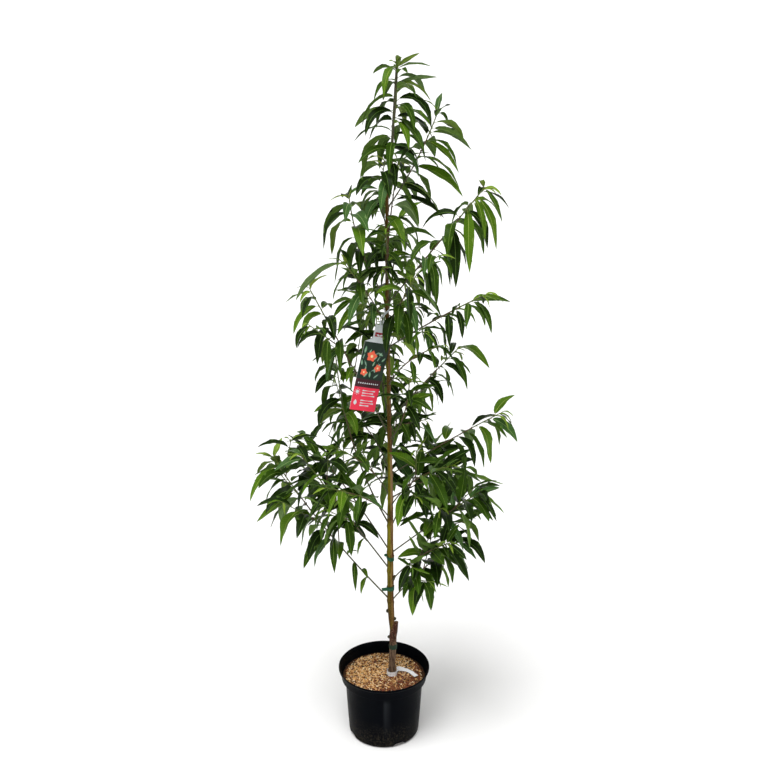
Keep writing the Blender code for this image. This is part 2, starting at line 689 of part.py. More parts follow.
def build_base_tag(group):
    """A white strip round the stem's foot, whose long tail lies on the mulch."""
    foot = Vector((stem_point(0.18).x, 0.0, 0.0))
    reach = FLARE_RADIUS + 0.0012
    low = SOIL_TOP + GAP
    stations = []
    for step in range(13):
        angle = math.radians(60.0 + 300.0 * step / 12)
        spot = foot + Vector((math.cos(angle) * reach, math.sin(angle) * reach, low + 0.0064))
        stations.append((spot, Vector((0.0, 0.0, 0.0064))))
    tail = ((0.0365, 0.0125, 75.0), (0.0420, 0.0175, 50.0), (0.0500, 0.0190, 22.0), (0.0600, 0.0175, 4.0),
            (0.0700, 0.0120, 0.0), (0.0800, 0.0010, 0.0), (0.0890, -0.0130, 0.0))
    for number, (x, y, tilt) in enumerate(tail):
        after = tail[min(number + 1, len(tail) - 1)]
        before = tail[max(number - 1, 0)]
        ahead = Vector((after[0] - before[0], after[1] - before[1], 0.0)).normalized()
        level = Vector((ahead.y, -ahead.x, 0.0))
        lean = math.radians(tilt)
        half = (level * math.cos(lean) + Vector((0.0, 0.0, math.sin(lean)))) * 0.0064
        stations.append((Vector((x, y, low + 0.0005 + abs(half.z))), half))
    mesh = strap_mesh("base_tag", stations, 0.0007)
    return add_object("base_tag", mesh, group, material("tag_film", "E9EAEC", 0.4))


def build_crown(group, hard):
    """Boughs and leafy masses, each mass clear of everything but its own twigs."""
    space = Space()
    for obj in hard:
        space.add("hard", mesh_of(obj))
    bark = material("bough_bark", "7B4B33", 0.7)
    green = material("foliage", "35601F", 0.5)
    plans = []
    for number, shoot in enumerate(SHOOTS):
        points = shoot_path(shoot)
        first, plane = limb_span(shoot, points)
        tag = "%02d" % number if shoot.length else "leader"
        bough_end = shoot.bare * BOUGH_SHARE
        twig_start = first
        if (bough_end - first) * shoot.length >= BOUGH_LEAST:
            mesh = limb_mesh("bough_" + tag, shoot, points, first, bough_end, 6, 4, plane)
            add_object("bough_" + tag, mesh, group, bark)
            space.add("hard", mesh)
            twig_start = bough_end + GAP / shoot.length
            plane = None
        elif not shoot.length:
            twig_start = (TRUNK_TIP + GAP - shoot.height) / (SHOOT_TIP - shoot.height)
        twig = limb_mesh("foliage_" + tag, shoot, points, twig_start, 1.0, 3, 6, plane)
        space.add(tag, twig)
        leaves, forks = shoot_leaves(shoot, points)
        plans.append((tag, shoot, twig, leaves, forks))
    skipped = 0
    kept = 0
    for tag, shoot, twig, leaves, forks in plans:
        mass = add_object("foliage_" + tag, twig, group, green)
        extras = []
        dropped = set()
        for number, (low, high) in enumerate(forks):
            mesh = loft_mesh("fork", limb_rings([low, high], [0.0017, 0.0013], 3))
            if space.free(tag, mesh, own=False):
                extras.append(add_object("fork", mesh, group))
                space.add(tag, mesh)
            else:
                dropped.add(number)
                bpy.data.meshes.remove(mesh)
        for number, leaf in enumerate(leaves):
            fork = (number - shoot.leaves) // FORK_LEAVES if number >= shoot.leaves else None
            if fork is None and number % 4 == 1 and shoot.length:
                continue
            if fork is not None and (fork in dropped or (number - shoot.leaves) % FORK_LEAVES not in (1, 4)):
                continue
            for attempt in range(LEAF_TRIES):
                turn = 31.0 * ((attempt + 1) // 2) * (-1 if attempt % 2 else 1)
                fat = loft_mesh("try", leaf_rings(leaf, turn, LEAF_MARGIN, 0.0))
                blade = loft_mesh("try", leaf_rings(leaf, turn, LEAF_MARGIN, 0.14))
                clear = space.free(tag, fat, own=False) and space.free(tag, blade, own=True)
                if clear:
                    mesh = loft_mesh("leaf", leaf_rings(leaf, turn))
                    extras.append(add_object("leaf", mesh, group))
                    space.add(tag, fat, blade)
                    kept += 1
                bpy.data.meshes.remove(fat)
                bpy.data.meshes.remove(blade)
                if clear:
                    break
            else:
                skipped += 1
        joined(mass, extras)
    print("leaves kept", kept, "skipped", skipped)


def main():
    for obj in list(bpy.data.objects):
        bpy.data.objects.remove(obj)
    group = new_collection(NAME)
    build_pot(group)
    build_soil(group)
    build_trunk(group)
    build_ties(group)
    build_label(group)
    build_base_tag(group)
    build_crown(group, [obj for obj in group.objects if obj.name not in ("pot", "soil")])


main()
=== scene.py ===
"""Young peach tree in a black nursery pot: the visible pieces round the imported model.

Metres, +Z up. The origin is the centre of the pot's flat underside, the front looks along +Y
and +X is to the right. The crown repeats the named sizes and the seeded rule of the solids.
"""
import functools
import json
import math
import random
from collections import namedtuple

import bmesh
import bpy
from bpy.props import FloatProperty, FloatVectorProperty, IntProperty, PointerProperty
from bpy.types import Operator, Panel, PropertyGroup
from mathutils import Matrix, Vector, noise
from mathutils.bvhtree import BVHTree
from mathutils.kdtree import KDTree

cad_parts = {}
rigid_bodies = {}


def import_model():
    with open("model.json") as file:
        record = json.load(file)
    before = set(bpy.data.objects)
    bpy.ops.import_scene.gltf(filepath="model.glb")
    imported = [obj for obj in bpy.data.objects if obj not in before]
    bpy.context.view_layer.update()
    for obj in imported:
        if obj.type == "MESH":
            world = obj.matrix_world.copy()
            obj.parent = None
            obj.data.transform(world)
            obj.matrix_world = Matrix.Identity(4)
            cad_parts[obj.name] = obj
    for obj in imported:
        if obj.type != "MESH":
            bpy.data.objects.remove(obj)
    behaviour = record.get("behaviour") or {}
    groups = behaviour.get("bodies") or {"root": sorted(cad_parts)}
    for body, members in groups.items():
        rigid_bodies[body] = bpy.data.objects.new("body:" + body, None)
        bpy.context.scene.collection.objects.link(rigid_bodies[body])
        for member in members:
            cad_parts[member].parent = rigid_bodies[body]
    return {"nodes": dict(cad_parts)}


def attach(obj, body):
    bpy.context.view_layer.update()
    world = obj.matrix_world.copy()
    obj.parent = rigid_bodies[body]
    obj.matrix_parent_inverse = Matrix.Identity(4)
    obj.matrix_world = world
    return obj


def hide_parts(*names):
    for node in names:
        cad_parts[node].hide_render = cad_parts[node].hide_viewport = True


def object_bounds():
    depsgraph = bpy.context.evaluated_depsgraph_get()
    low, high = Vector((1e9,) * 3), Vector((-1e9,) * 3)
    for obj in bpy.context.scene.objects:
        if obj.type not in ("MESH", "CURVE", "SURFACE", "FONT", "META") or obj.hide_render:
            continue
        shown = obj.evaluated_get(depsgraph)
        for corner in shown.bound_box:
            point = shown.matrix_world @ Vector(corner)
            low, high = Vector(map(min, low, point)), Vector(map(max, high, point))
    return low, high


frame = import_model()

bl_info = {
    "name": "Potted Peach Tree",
    "version": (1, 0, 0),
    "blender": (4, 5, 0),
    "location": "3D View > Sidebar > Peach Tree",
    "description": "Builds a young peach tree with its leaves, bark, mulch and nursery pot",
    "category": "Object",
}

NODES = frame["nodes"]
CAD_BOX = [list(corner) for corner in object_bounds()]
GAP = 0.0003

# Camera: its place, its downward pitch in degrees and its focal length in millimetres.
CAMERA_PLACE = (0.0, -2.476, 1.796)
CAMERA_PITCH = 17.53
CAMERA_LENS = 48.2
# Floor: radius of its flat part, how far the bowl reaches beyond that and how high, in metres.
BOWL_FLAT = 2.8
BOWL_REACH = 5.2
BOWL_HEIGHT = 4.6
BOWL_RINGS = 16
BOWL_SIDES = 96
# Softness of the overhead light (degrees) and width of the front light (m).
SUN_ANGLE = 34.0
SOFT_SIZE = 1.6

# Pot, as its solid has it.
POT_HEIGHT = 0.200
POT_WALL = 0.0016
LIP_RADIUS = 0.1250
COLLAR_TOP_RADIUS = 0.1207
COLLAR_FOOT_RADIUS = 0.1168
COLLAR_FOOT = 0.1650
SHOULDER_RADIUS = 0.1068
FOOT_RADIUS = 0.0972
FLAT_RADIUS = 0.0900
NOTCHES = 4
NOTCH_START = 26.0
NOTCH_WIDTH = 0.038
NOTCH_HEIGHT = 0.012
NOTCH_DEPTH = 0.036
NOTCH_PLACE = 0.099
SOIL_TOP = 0.1710

# Mulch: radius, sides and rings of its surface, and the reach and squares of the chips' grid.
MULCH_RADIUS = COLLAR_FOOT_RADIUS - POT_WALL - 0.0008
MULCH_SIDES = 96
MULCH_RINGS = 30
CHIP_REACH = 0.1065
CHIP_GRID = 56
# Chips: colours of their light and dark fibres, share of the density, size for a length of 1,
# and how dense they lie at the back left and how much more at the front right.
Chip = namedtuple("Chip", "name light dark share size here more")
CHIPS = (
    Chip("gold", "ECBE7C", "B98850", 1.0, (0.9, 0.42, 0.26), 1.0, -0.80),
    Chip("pale", "FCECCB", "E2BE88", 0.72, (0.78, 0.38, 0.24), 1.0, -0.60),
    Chip("brown", "A06A3C", "5E371E", 0.52, (1.05, 0.5, 0.3), 0.55, 0.45),
    Chip("red", "8A4A30", "4E2518", 0.5, (1.2, 0.55, 0.32), 0.12, 0.88),
    Chip("dark", "43291A", "1E120B", 0.24, (0.9, 0.5, 0.3), 1.0, 0.0),
)

# Stem: height, sideways lean and radius at each station, from the mulch to the shoot tip.
Station = namedtuple("Station", "height lean radius")
STEM = (
    Station(0.179, 0.0222, 0.0104),
    Station(0.200, 0.0219, 0.0092),
    Station(0.263, 0.0247, 0.0094),
    Station(0.290, 0.0243, 0.0100),
    Station(0.310, 0.0232, 0.0072),
    Station(0.340, 0.0207, 0.0080),
    Station(0.371, 0.0190, 0.0088),
    Station(0.402, 0.0176, 0.0087),
    Station(0.542, 0.0165, 0.0086),
    Station(0.650, 0.0164, 0.0080),
    Station(0.715, 0.0167, 0.0067),
    Station(0.890, 0.0141, 0.0056),
    Station(0.971, 0.0127, 0.0053),
    Station(1.103, 0.0100, 0.0050),
    Station(1.205, 0.0074, 0.0047),
    Station(1.475, 0.0072, 0.0040),
    Station(1.557, 0.0177, 0.0032),
    Station(1.592, 0.0188, 0.0028),
    Station(1.649, 0.0220, 0.0024),
    Station(1.701, 0.0279, 0.0020),
    Station(1.765, 0.0300, 0.0014),
    Station(1.785, 0.0300, 0.0010),
)
FLARE_RADIUS = 0.0126
TRUNK_FOOT = SOIL_TOP + GAP
TRUNK_TIP = 1.530
SHOOT_TIP = 1.785
GRAFT_HEIGHT = 0.318
STEM_SIDES = 28
STEM_RINGS = 450
# Cut stub at the graft and spur above it: points on the axis with the radius there.
STUB = [(Vector((x, 0.0, z)), radius) for x, z, radius in (
    (0.0250, 0.270, 0.0050), (0.0274, 0.284, 0.0062), (0.0297, 0.298, 0.0063), (0.0316, 0.311, 0.0060),
    (0.0327, 0.323, 0.0056), (0.0336, 0.3345, 0.0053))]
SPUR = [(Vector((0.0175, 0.002, 0.448)), 0.0058), (Vector((0.0240, 0.0016, 0.463)), 0.0052),
        (Vector((0.0290, 0.001, 0.474)), 0.0038)]
LIMB_RINGS = 16
LIMB_SIDES = 20
# Old pruning knobs: centre, radius and height for the radius.
KNOBS = ((Vector((0.0140, -0.001, 0.289)), 0.0044, 1.0), (Vector((0.0286, -0.001, 0.345)), 0.0050, 1.0),
         (Vector((0.0098, -0.001, 0.369)), 0.0044, 1.3))
KNOB_SIDES = 16

# Shoots: height on the stem (m), heading and its turn (degrees), length (m), rise at the foot
# and at the tip (degrees), bare share, leaves, leaf length (m), sag (degrees), leaf width as a
# share of its length, side twigs and seed.
Shoot = namedtuple(
    "Shoot", "name height heading turn length rise tip_rise bare leaves blade sag wide forks seed")
SHOOTS = (
    Shoot("right_1", 1.454, 15, -9, 0.256, 53, 70, 0.12, 17, 0.145, 86, 0.21, 0, 967),
    Shoot("right_2", 1.219, 338, -18, 0.398, 51, 48, 0.25, 22, 0.121, 124, 0.21, 1, 904),
    Shoot("right_3", 1.109, 326, -11, 0.337, 35, 28, 0.20, 18, 0.086, 90, 0.22, 1, 95),
    Shoot("right_4", 0.918, 29, -9, 0.256, 40, 41, 0.30, 15, 0.092, 83, 0.22, 1, 775),
    Shoot("right_4b", 0.863, 308, -30, 0.231, 45, 76, 0.25, 15, 0.086, 59, 0.24, 1, 204),
    Shoot("right_5", 0.766, 9, -5, 0.330, 31, 27, 0.30, 15, 0.125, 95, 0.26, 0, 597),
    Shoot("right_5b", 0.828, 75, 15, 0.217, 31, 34, 0.25, 14, 0.109, 66, 0.26, 1, 717),
    Shoot("right_5c", 0.675, 311, 3, 0.274, 57, 24, 0.30, 15, 0.105, 48, 0.27, 2, 790),
    Shoot("right_5d", 0.700, 29, 26, 0.290, 19, -20, 0.25, 17, 0.123, 98, 0.27, 2, 459),
    Shoot("right_6", 0.540, 342, -7, 0.329, 43, 41, 0.30, 20, 0.127, 79, 0.28, 3, 997),
    Shoot("right_7", 0.455, 320, 4, 0.260, 55, 30, 0.35, 16, 0.100, 16, 0.28, 2, 832),
    Shoot("right_8", 0.396, 342, 6, 0.277, 55, 41, 0.30, 14, 0.103, 84, 0.28, 2, 230),
    Shoot("right_9", 0.610, 60, -4, 0.296, 43, 27, 0.30, 15, 0.115, 28, 0.28, 2, 559),
    Shoot("left_1", 1.404, 154, -6, 0.167, 71, 106, 0.12, 13, 0.123, 124, 0.21, 0, 169),
    Shoot("left_2", 1.229, 188, -20, 0.278, 57, 84, 0.25, 17, 0.135, 120, 0.21, 0, 490),
    Shoot("left_3", 1.154, 216, -35, 0.214, 65, 49, 0.20, 14, 0.108, 85, 0.21, 1, 876),
    Shoot("left_4", 0.874, 176, -1, 0.434, 63, 62, 0.40, 19, 0.113, 118, 0.23, 2, 281),
    Shoot("left_4b", 1.025, 106, -30, 0.209, 59, 49, 0.20, 14, 0.083, 133, 0.22, 1, 258),
    Shoot("left_5a", 0.621, 158, -20, 0.500, 56, 85, 0.50, 20, 0.108, 105, 0.26, 1, 225),
    Shoot("left_5b", 0.703, 204, -6, 0.219, 66, 28, 0.35, 13, 0.085, 51, 0.26, 1, 517),
    Shoot("left_6", 0.401, 188, -35, 0.511, 50, 52, 0.37, 24, 0.122, 89, 0.28, 4, 62),
    Shoot("left_7", 0.491, 206, -32, 0.419, 57, 55, 0.40, 20, 0.125, 89, 0.27, 3, 960),
    Shoot("left_7b", 0.545, 158, -9, 0.392, 55, 41, 0.35, 17, 0.101, 60, 0.27, 3, 33),
    Shoot("front_1", 1.280, 272, -8, 0.165, 52, 65, 0.15, 13, 0.088, 79, 0.21, 1, 883),
    Shoot("front_2", 1.170, 294, 16, 0.195, 41, 56, 0.15, 14, 0.118, 85, 0.21, 1, 173),
    Shoot("front_3", 1.010, 294, 25, 0.266, 49, 22, 0.20, 13, 0.067, 71, 0.23, 1, 260),
    Shoot("front_4", 0.640, 245, -43, 0.273, 51, 18, 0.35, 14, 0.091, 68, 0.26, 2, 472),
    Shoot("back_1", 1.330, 84, -22, 0.249, 62, 71, 0.15, 14, 0.139, 104, 0.21, 1, 655),
    Shoot("back_2", 1.190, 80, 5, 0.305, 48, 36, 0.18, 15, 0.137, 101, 0.21, 1, 763),
    Shoot("back_3", 1.050, 113, -6, 0.273, 49, 37, 0.20, 16, 0.114, 77, 0.23, 2, 656),
    Shoot("back_4", 0.910, 107, -16, 0.324, 50, 42, 0.22, 16, 0.097, 100, 0.24, 2, 927),
    Shoot("back_5", 0.770, 110, 19, 0.326, 37, -1, 0.25, 16, 0.104, 76, 0.26, 3, 653),
    Shoot("back_6", 0.660, 93, -9, 0.320, 31, 29, 0.30, 15, 0.112, 68, 0.26, 2, 943),
    Shoot("leader", 1.535, 264, 0, 0.000, 94, 80, 0.02, 30, 0.129, 115, 0.19, 0, 129),
)
PATH_STEPS = 24
TWIG_RINGS = 64
TWIG_SIDES = 8
FORK_LEAVES = 5
FORK_RADIUS = 0.0013
SPIRAL = 144.0
STEEPEST = -1.45
LEAF_TRIES = 6
LEAF_MARGIN = 0.0007
KEEL_DEPTH = 0.15
REACH = 0.006

# Single leaves that stand out in the front view: shoot, share of its path, turn round it and angle
# from it (degrees), length (m), droop, sweep and roll (degrees) and width as a share of the length.
Single = namedtuple("Single", "shoot place around spread size droop sweep roll wide")
SINGLES = (
    Single("leader", 0.98, 124, 73, 0.109, 98, 20, -3, 0.20),
    Single("leader", 0.97, 29, 46, 0.072, 28, -14, -40, 0.16),
    Single("leader", 0.83, 271, 62, 0.098, 29, 12, -40, 0.16),
    Single("leader", 0.58, 131, 79, 0.164, 52, -16, 36, 0.16),
    Single("leader", 0.35, 99, 74, 0.146, 123, -5, 32, 0.19),
    Single("leader", 0.52, 321, 79, 0.143, 61, -9, -10, 0.19),
    Single("right_1", 0.84, 232, 63, 0.141, 52, -10, -38, 0.16),
    Single("right_1", 0.72, 287, 75, 0.116, 57, 9, 40, 0.18),
    Single("right_1", 0.52, 17, 35, 0.090, 104, 24, -5, 0.24),
    Single("right_2", 0.75, 71, 80, 0.114, 107, -24, -39, 0.17),
    Single("right_2", 0.99, 290, 65, 0.099, 54, 13, 1, 0.16),
    Single("right_2", 0.92, 273, 75, 0.136, 61, 8, 25, 0.16),
    Single("right_2", 0.82, 325, 72, 0.159, 150, 21, 8, 0.16),
    Single("right_2", 0.67, 317, 79, 0.159, 71, -5, 12, 0.16),
    Single("right_2", 0.88, 299, 63, 0.103, 80, 22, 7, 0.16),
    Single("right_3", 0.84, 170, 54, 0.121, 48, 20, 36, 0.16),
    Single("right_3", 0.86, 247, 31, 0.098, 80, -18, 40, 0.16),
    Single("right_4", 0.99, 32, 61, 0.169, 74, 4, 4, 0.16),
    Single("right_4", 0.88, 20, 73, 0.128, 99, 15, 0, 0.16),
    Single("right_5d", 1.00, 349, 49, 0.130, 3, 20, 10, 0.22),
    Single("right_6", 0.95, 343, 40, 0.107, 71, 11, 7, 0.18),
    Single("right_7", 0.96, 278, 60, 0.110, 33, 11, -5, 0.30),
    Single("right_8", 1.00, 2, 20, 0.107, 96, -16, 5, 0.27),
    Single("left_2", 0.91, 299, 80, 0.135, 83, 18, 40, 0.16),
    Single("left_3", 0.99, 262, 52, 0.159, 60, -23, 40, 0.16),
    Single("left_5a", 0.40, 110, 60, 0.050, 95, 8, 15, 0.27),
    Single("left_6", 0.94, 226, 68, 0.130, 68, 8, -28, 0.16),
    Single("left_6", 0.78, 254, 80, 0.153, 23, -19, -40, 0.17),
    Single("left_6", 0.52, 226, 80, 0.122, 52, -1, -18, 0.23),
    Single("left_6", 0.47, 160, 80, 0.109, 150, 18, 0, 0.19),
    Single("left_6", 0.30, 162, 79, 0.091, 150, 11, -11, 0.17),
    Single("left_6", 0.35, 109, 49, 0.059, 68, 22, -16, 0.23),
    Single("left_6", 0.19, 200, 60, 0.058, 95, 8, 15, 0.27),
    Single("left_6", 0.24, 130, 60, 0.052, 95, 8, 15, 0.27),
    Single("left_7", 0.31, 240, 60, 0.055, 95, 8, 15, 0.27),
    Single("front_2", 0.24, 330, 60, 0.115, 95, 8, 15, 0.27),
)
# Heights between which the stem itself carries leaves, and how many.
STEM_LEAVES = (1.200, 1.530)
STEM_LEAF_COUNT = 17

# Tones of the leaves: colours of the lower skin and of the midrib, and the share of each tone
# among the shoots above UPPER_CROWN and below it. Young leaves are only among the small ones.
# The deep tone stands for older leaves and partly for painted shade, so the lower crown takes more of it.
Tone = namedtuple("Tone", "name under rib above below")
TONES = (
    Tone("deep", "466025", "5A7836", 0.30, 0.36),
    Tone("mid", "55702E", "728E3E", 0.34, 0.38),
    Tone("fresh", "678034", "94A64C", 0.21, 0.16),
    # This tone is a painted reflection of the sky: a bluish green dealt out to some leaves, more of them in
    # the upper crown.
    Tone("waxy", "637C49", "8AA264", 0.15, 0.10),
    Tone("young", "84983E", "A6B45A", 0.0, 0.0),
)
UPPER_CROWN = 1.12
# Side veins of a leaf stand this far apart.
VEIN_SPACING = 0.0065

# Label, as its solid has it.
LABEL_HEAD = Vector((-0.0050, -0.0250, 1.1730))
LABEL_LEAN = math.radians(15.3)
LABEL_YAW = math.radians(28.0)
LABEL_STAND = (Matrix.Rotation(LABEL_YAW, 3, "Z") @ Matrix.Rotation(LABEL_LEAN, 3, "Y")
               @ Matrix.Rotation(math.pi / 2, 3, "X"))
LABEL_THICK = 0.0010
LABEL_LENGTH = 0.219
STRAP_HEIGHT = 1.2065
STRAP_STEPS = 90
# Heights below the label's head where its head, its picture field and its dark band end.
LABEL_PARTS = (-0.045, -0.139, -0.160)
LABEL_COLUMNS = 10

# Thickness of the ties and the white strip, and of the grafting tape.
TIE_THICK = 0.0006
TAPE_THICK = 0.0005


def linear(code):
    """Linear colour of an sRGB hex code."""
    parts = [int(code[i:i + 2], 16) / 255 for i in (0, 2, 4)]
    return [c / 12.92 if c <= 0.04045 else ((c + 0.055) / 1.055) ** 2.4 for c in parts] + [1.0]


def feed(tree, made, inputs):
    """Sets a node's inputs: values, sockets, or nodes, whose first output in use is taken."""
    for key, value in inputs.items():
        if isinstance(value, bpy.types.Node):
            value = next(out for out in value.outputs if out.enabled)
        if isinstance(value, bpy.types.NodeSocket):
            tree.links.new(value, made.inputs[key])
        else:
            made.inputs[key].default_value = value
    return made


def add_node(tree, kind, inputs=None, **settings):
    """Adds a node with its settings and inputs.

    A Map Range takes its value at 0, the range it comes from at 1 and 2 and the range it goes to
    at 3 and 4. A Mix of colours takes its share at 0 and its colours at 6 and 7.
    """
    made = tree.nodes.new(kind)
    for name, value in settings.items():
        setattr(made, name, value)
    return feed(tree, made, inputs or {})


def new_material(name, roughness, level):
    """A material with its node tree and its Principled shader."""
    made = bpy.data.materials.new(name)
    made.use_nodes = True
    shader = made.node_tree.nodes["Principled BSDF"]
    feed(made.node_tree, shader, {"Roughness": roughness, "Specular IOR Level": level})
    return made, made.node_tree, shader


def coated(tree, under, over, value, low=0.0, high=1.0, most=1.0):
    """A colour with another laid over it, by a share that grows to most as a value goes from low to high."""
    share = add_node(tree, "ShaderNodeMapRange", {0: value, 1: low, 2: high, 4: most})
    return add_node(tree, "ShaderNodeMix", {0: share, 6: under, 7: over}, data_type="RGBA")


def sized_noise(tree, millimetres, detail=3.0, upright=1.0):
    """Noise on Object coordinates: patches so many millimetres wide, drawn out where upright is below 1."""
    place = add_node(tree, "ShaderNodeTexCoord").outputs["Object"]
    lie = add_node(tree, "ShaderNodeMapping", {"Vector": place, "Scale": (1.0, 1.0, upright)})
    wanted = {"Vector": lie, "Scale": 1000.0 / millimetres, "Detail": detail}
    return add_node(tree, "ShaderNodeTexNoise", wanted)


class Shape:
    """Points, faces, their looks and UV spots, gathered into one mesh."""

    def __init__(self):
        self.points = []
        self.faces = []
        self.looks = []
        self.spots = []
        self.rims = set()

    def add(self, points, faces, looks=0, spots=None, rims=()):
        start = len(self.points)
        self.points.extend(points)
        self.faces.extend([tuple(start + i for i in face) for face in faces])
        self.looks.extend(looks if isinstance(looks, list) else [looks] * len(faces))
        self.spots.extend(spots or [(0.0, 0.0)] * len(points))
        self.rims.update(start + i for i in rims)

    def mesh(self, name, sharp=None):
        made = bpy.data.meshes.new(name)
        made.from_pydata(self.points, [], self.faces)
        made.polygons.foreach_set("material_index", self.looks)
        made.polygons.foreach_set("use_smooth", [True] * len(self.faces))
        layer = made.uv_layers.new(name="UVMap")
        corners = [0] * len(made.loops)
        made.loops.foreach_get("vertex_index", corners)
        layer.data.foreach_set("uv", [part for corner in corners for part in self.spots[corner]])
        if sharp:
            made.set_sharp_from_angle(angle=math.radians(sharp))
        if self.rims:
            edges = [0] * (2 * len(made.edges))
            made.edges.foreach_get("vertices", edges)
            flags = [edges[i] in self.rims and edges[i + 1] in self.rims for i in range(0, len(edges), 2)]
            made.attributes.new("sharp_edge", "BOOLEAN", "EDGE").data.foreach_set("value", flags)
        made.validate()
        return made


def skin(rings, cyclic=False):
    """Points and outward faces through rings that run anticlockwise as seen from the first end.

    A ring of one point is a tip. Faces come span by span, then the two caps.
    """
    points = [point for ring in rings for point in ring]
    starts = [0]
    for ring in rings:
        starts.append(starts[-1] + len(ring))
    faces = []
    count = max(len(ring) for ring in rings)
    spans = len(rings) if cyclic else len(rings) - 1
    for number in range(spans):
        after = (number + 1) % len(rings)
        low, high = starts[number], starts[after]
        for side in range(count):
            other = (side + 1) % count
            if len(rings[number]) == 1:
                faces.append((low, high + side, high + other))
            elif len(rings[after]) == 1:
                faces.append((low + side, high, low + other))
            else:
                faces.append((low + side, high + side, high + other, low + other))
    if not cyclic:
        if len(rings[0]) > 1:
            faces.append(tuple(range(count)))
        if len(rings[-1]) > 1:
            faces.append(tuple(reversed(range(starts[-2], starts[-1]))))
    return points, faces


def add_object(name, mesh, looks):
    """A new object in the scene whose mesh wears the looks."""
    made = bpy.data.objects.new(name, mesh)
    bpy.context.scene.collection.objects.link(made)
    for look in looks:
        mesh.materials.append(look)
    return made


def settled(obj, slot, *nodes):
    """A finished piece rides on the plant's one body and stands for its solids."""
    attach(obj, "root")
    if nodes:
        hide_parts(*nodes)
    return obj


def finished(name, shape, looks, slot, *nodes, sharp=None):
    """A piece made from a shape, with edges sharper than an angle in degrees kept sharp."""
    return settled(add_object(name, shape.mesh(name, sharp), looks), slot, *nodes)


def applied(obj):
    """The object's mesh as its modifiers leave it, with the modifiers removed."""
    bpy.context.view_layer.update()
    seen = obj.evaluated_get(bpy.context.evaluated_depsgraph_get())
    made = bpy.data.meshes.new_from_object(seen)
    obj.modifiers.clear()
    obj.data = made
    return obj


def curved(points, count):
    """So many points on a smooth curve through the given points."""
    made = []
    last = len(points) - 1
    for number in range(count):
        spot = number / (count - 1) * last
        low = min(int(spot), last - 1)
        share = spot - low
        a, b, c, d = (points[min(max(low + i, 0), last)] for i in (-1, 0, 1, 2))
        made.append(0.5 * ((2.0 * b) + (c - a) * share + (2.0 * a - 5.0 * b + 4.0 * c - d) * share ** 2
                           + (3.0 * b - a - 3.0 * c + d) * share ** 3))
    return made


def stem_value(height, field):
    """Lean or radius of the stem at a height, straight between its stations."""
    for low, high in zip(STEM, STEM[1:]):
        if height <= high.height:
            share = max(0.0, (height - low.height) / (high.height - low.height))
            return getattr(low, field) + (getattr(high, field) - getattr(low, field)) * share
    return getattr(STEM[-1], field)


def stem_point(height):
    return Vector((stem_value(height, "lean"), 0.0, height))


def shoot_path(shoot):
    """Points along a shoot's axis, from the stem's axis to the shoot's tip."""
    if shoot.length == 0.0:
        span = SHOOT_TIP - shoot.height
        return [stem_point(shoot.height + span * i / PATH_STEPS) for i in range(PATH_STEPS + 1)]
    points = [stem_point(shoot.height)]
    for step in range(PATH_STEPS):
        share = (step + 0.5) / PATH_STEPS
        heading = math.radians(shoot.heading + shoot.turn * share)
        rise = math.radians(shoot.rise + (shoot.tip_rise - shoot.rise) * share)
        level = math.cos(rise)
        ahead = Vector((level * math.cos(heading), level * math.sin(heading), math.sin(rise)))
        points.append(points[-1] + ahead * (shoot.length / PATH_STEPS))
    return points


def on_path(points, place):
    """Point and direction at a share of a path."""
    spot = min(int(place * PATH_STEPS), PATH_STEPS - 1)
    ahead = points[spot + 1] - points[spot]
    return points[spot] + ahead * (place * PATH_STEPS - spot), ahead.normalized()


def across(ahead):
    """Level side direction and upper side direction of a limb."""
    side = ahead.cross(Vector((0.0, 0.0, 1.0)))
    side = side.normalized() if side.length > 0.000001 else Vector((1.0, 0.0, 0.0))
    return side, side.cross(ahead)


def twig_radius(shoot, place):
    """Radius of a shoot's axis, as its solid has it."""
    if shoot.length == 0.0:
        return stem_value(shoot.height + (SHOOT_TIP - shoot.height) * place, "radius") + 0.0006
    foot = 0.0020 + 0.0022 * shoot.length
    return foot + (0.0016 - foot) * place


def leaf_place(shoot, share):
    """Where on a shoot's path a leaf sits, for its share of the count: denser toward the tip."""
    return shoot.bare + (1.0 - shoot.bare) * share ** 0.85


Leaf = namedtuple("Leaf", "base ahead around spread size droop sweep roll wide root")


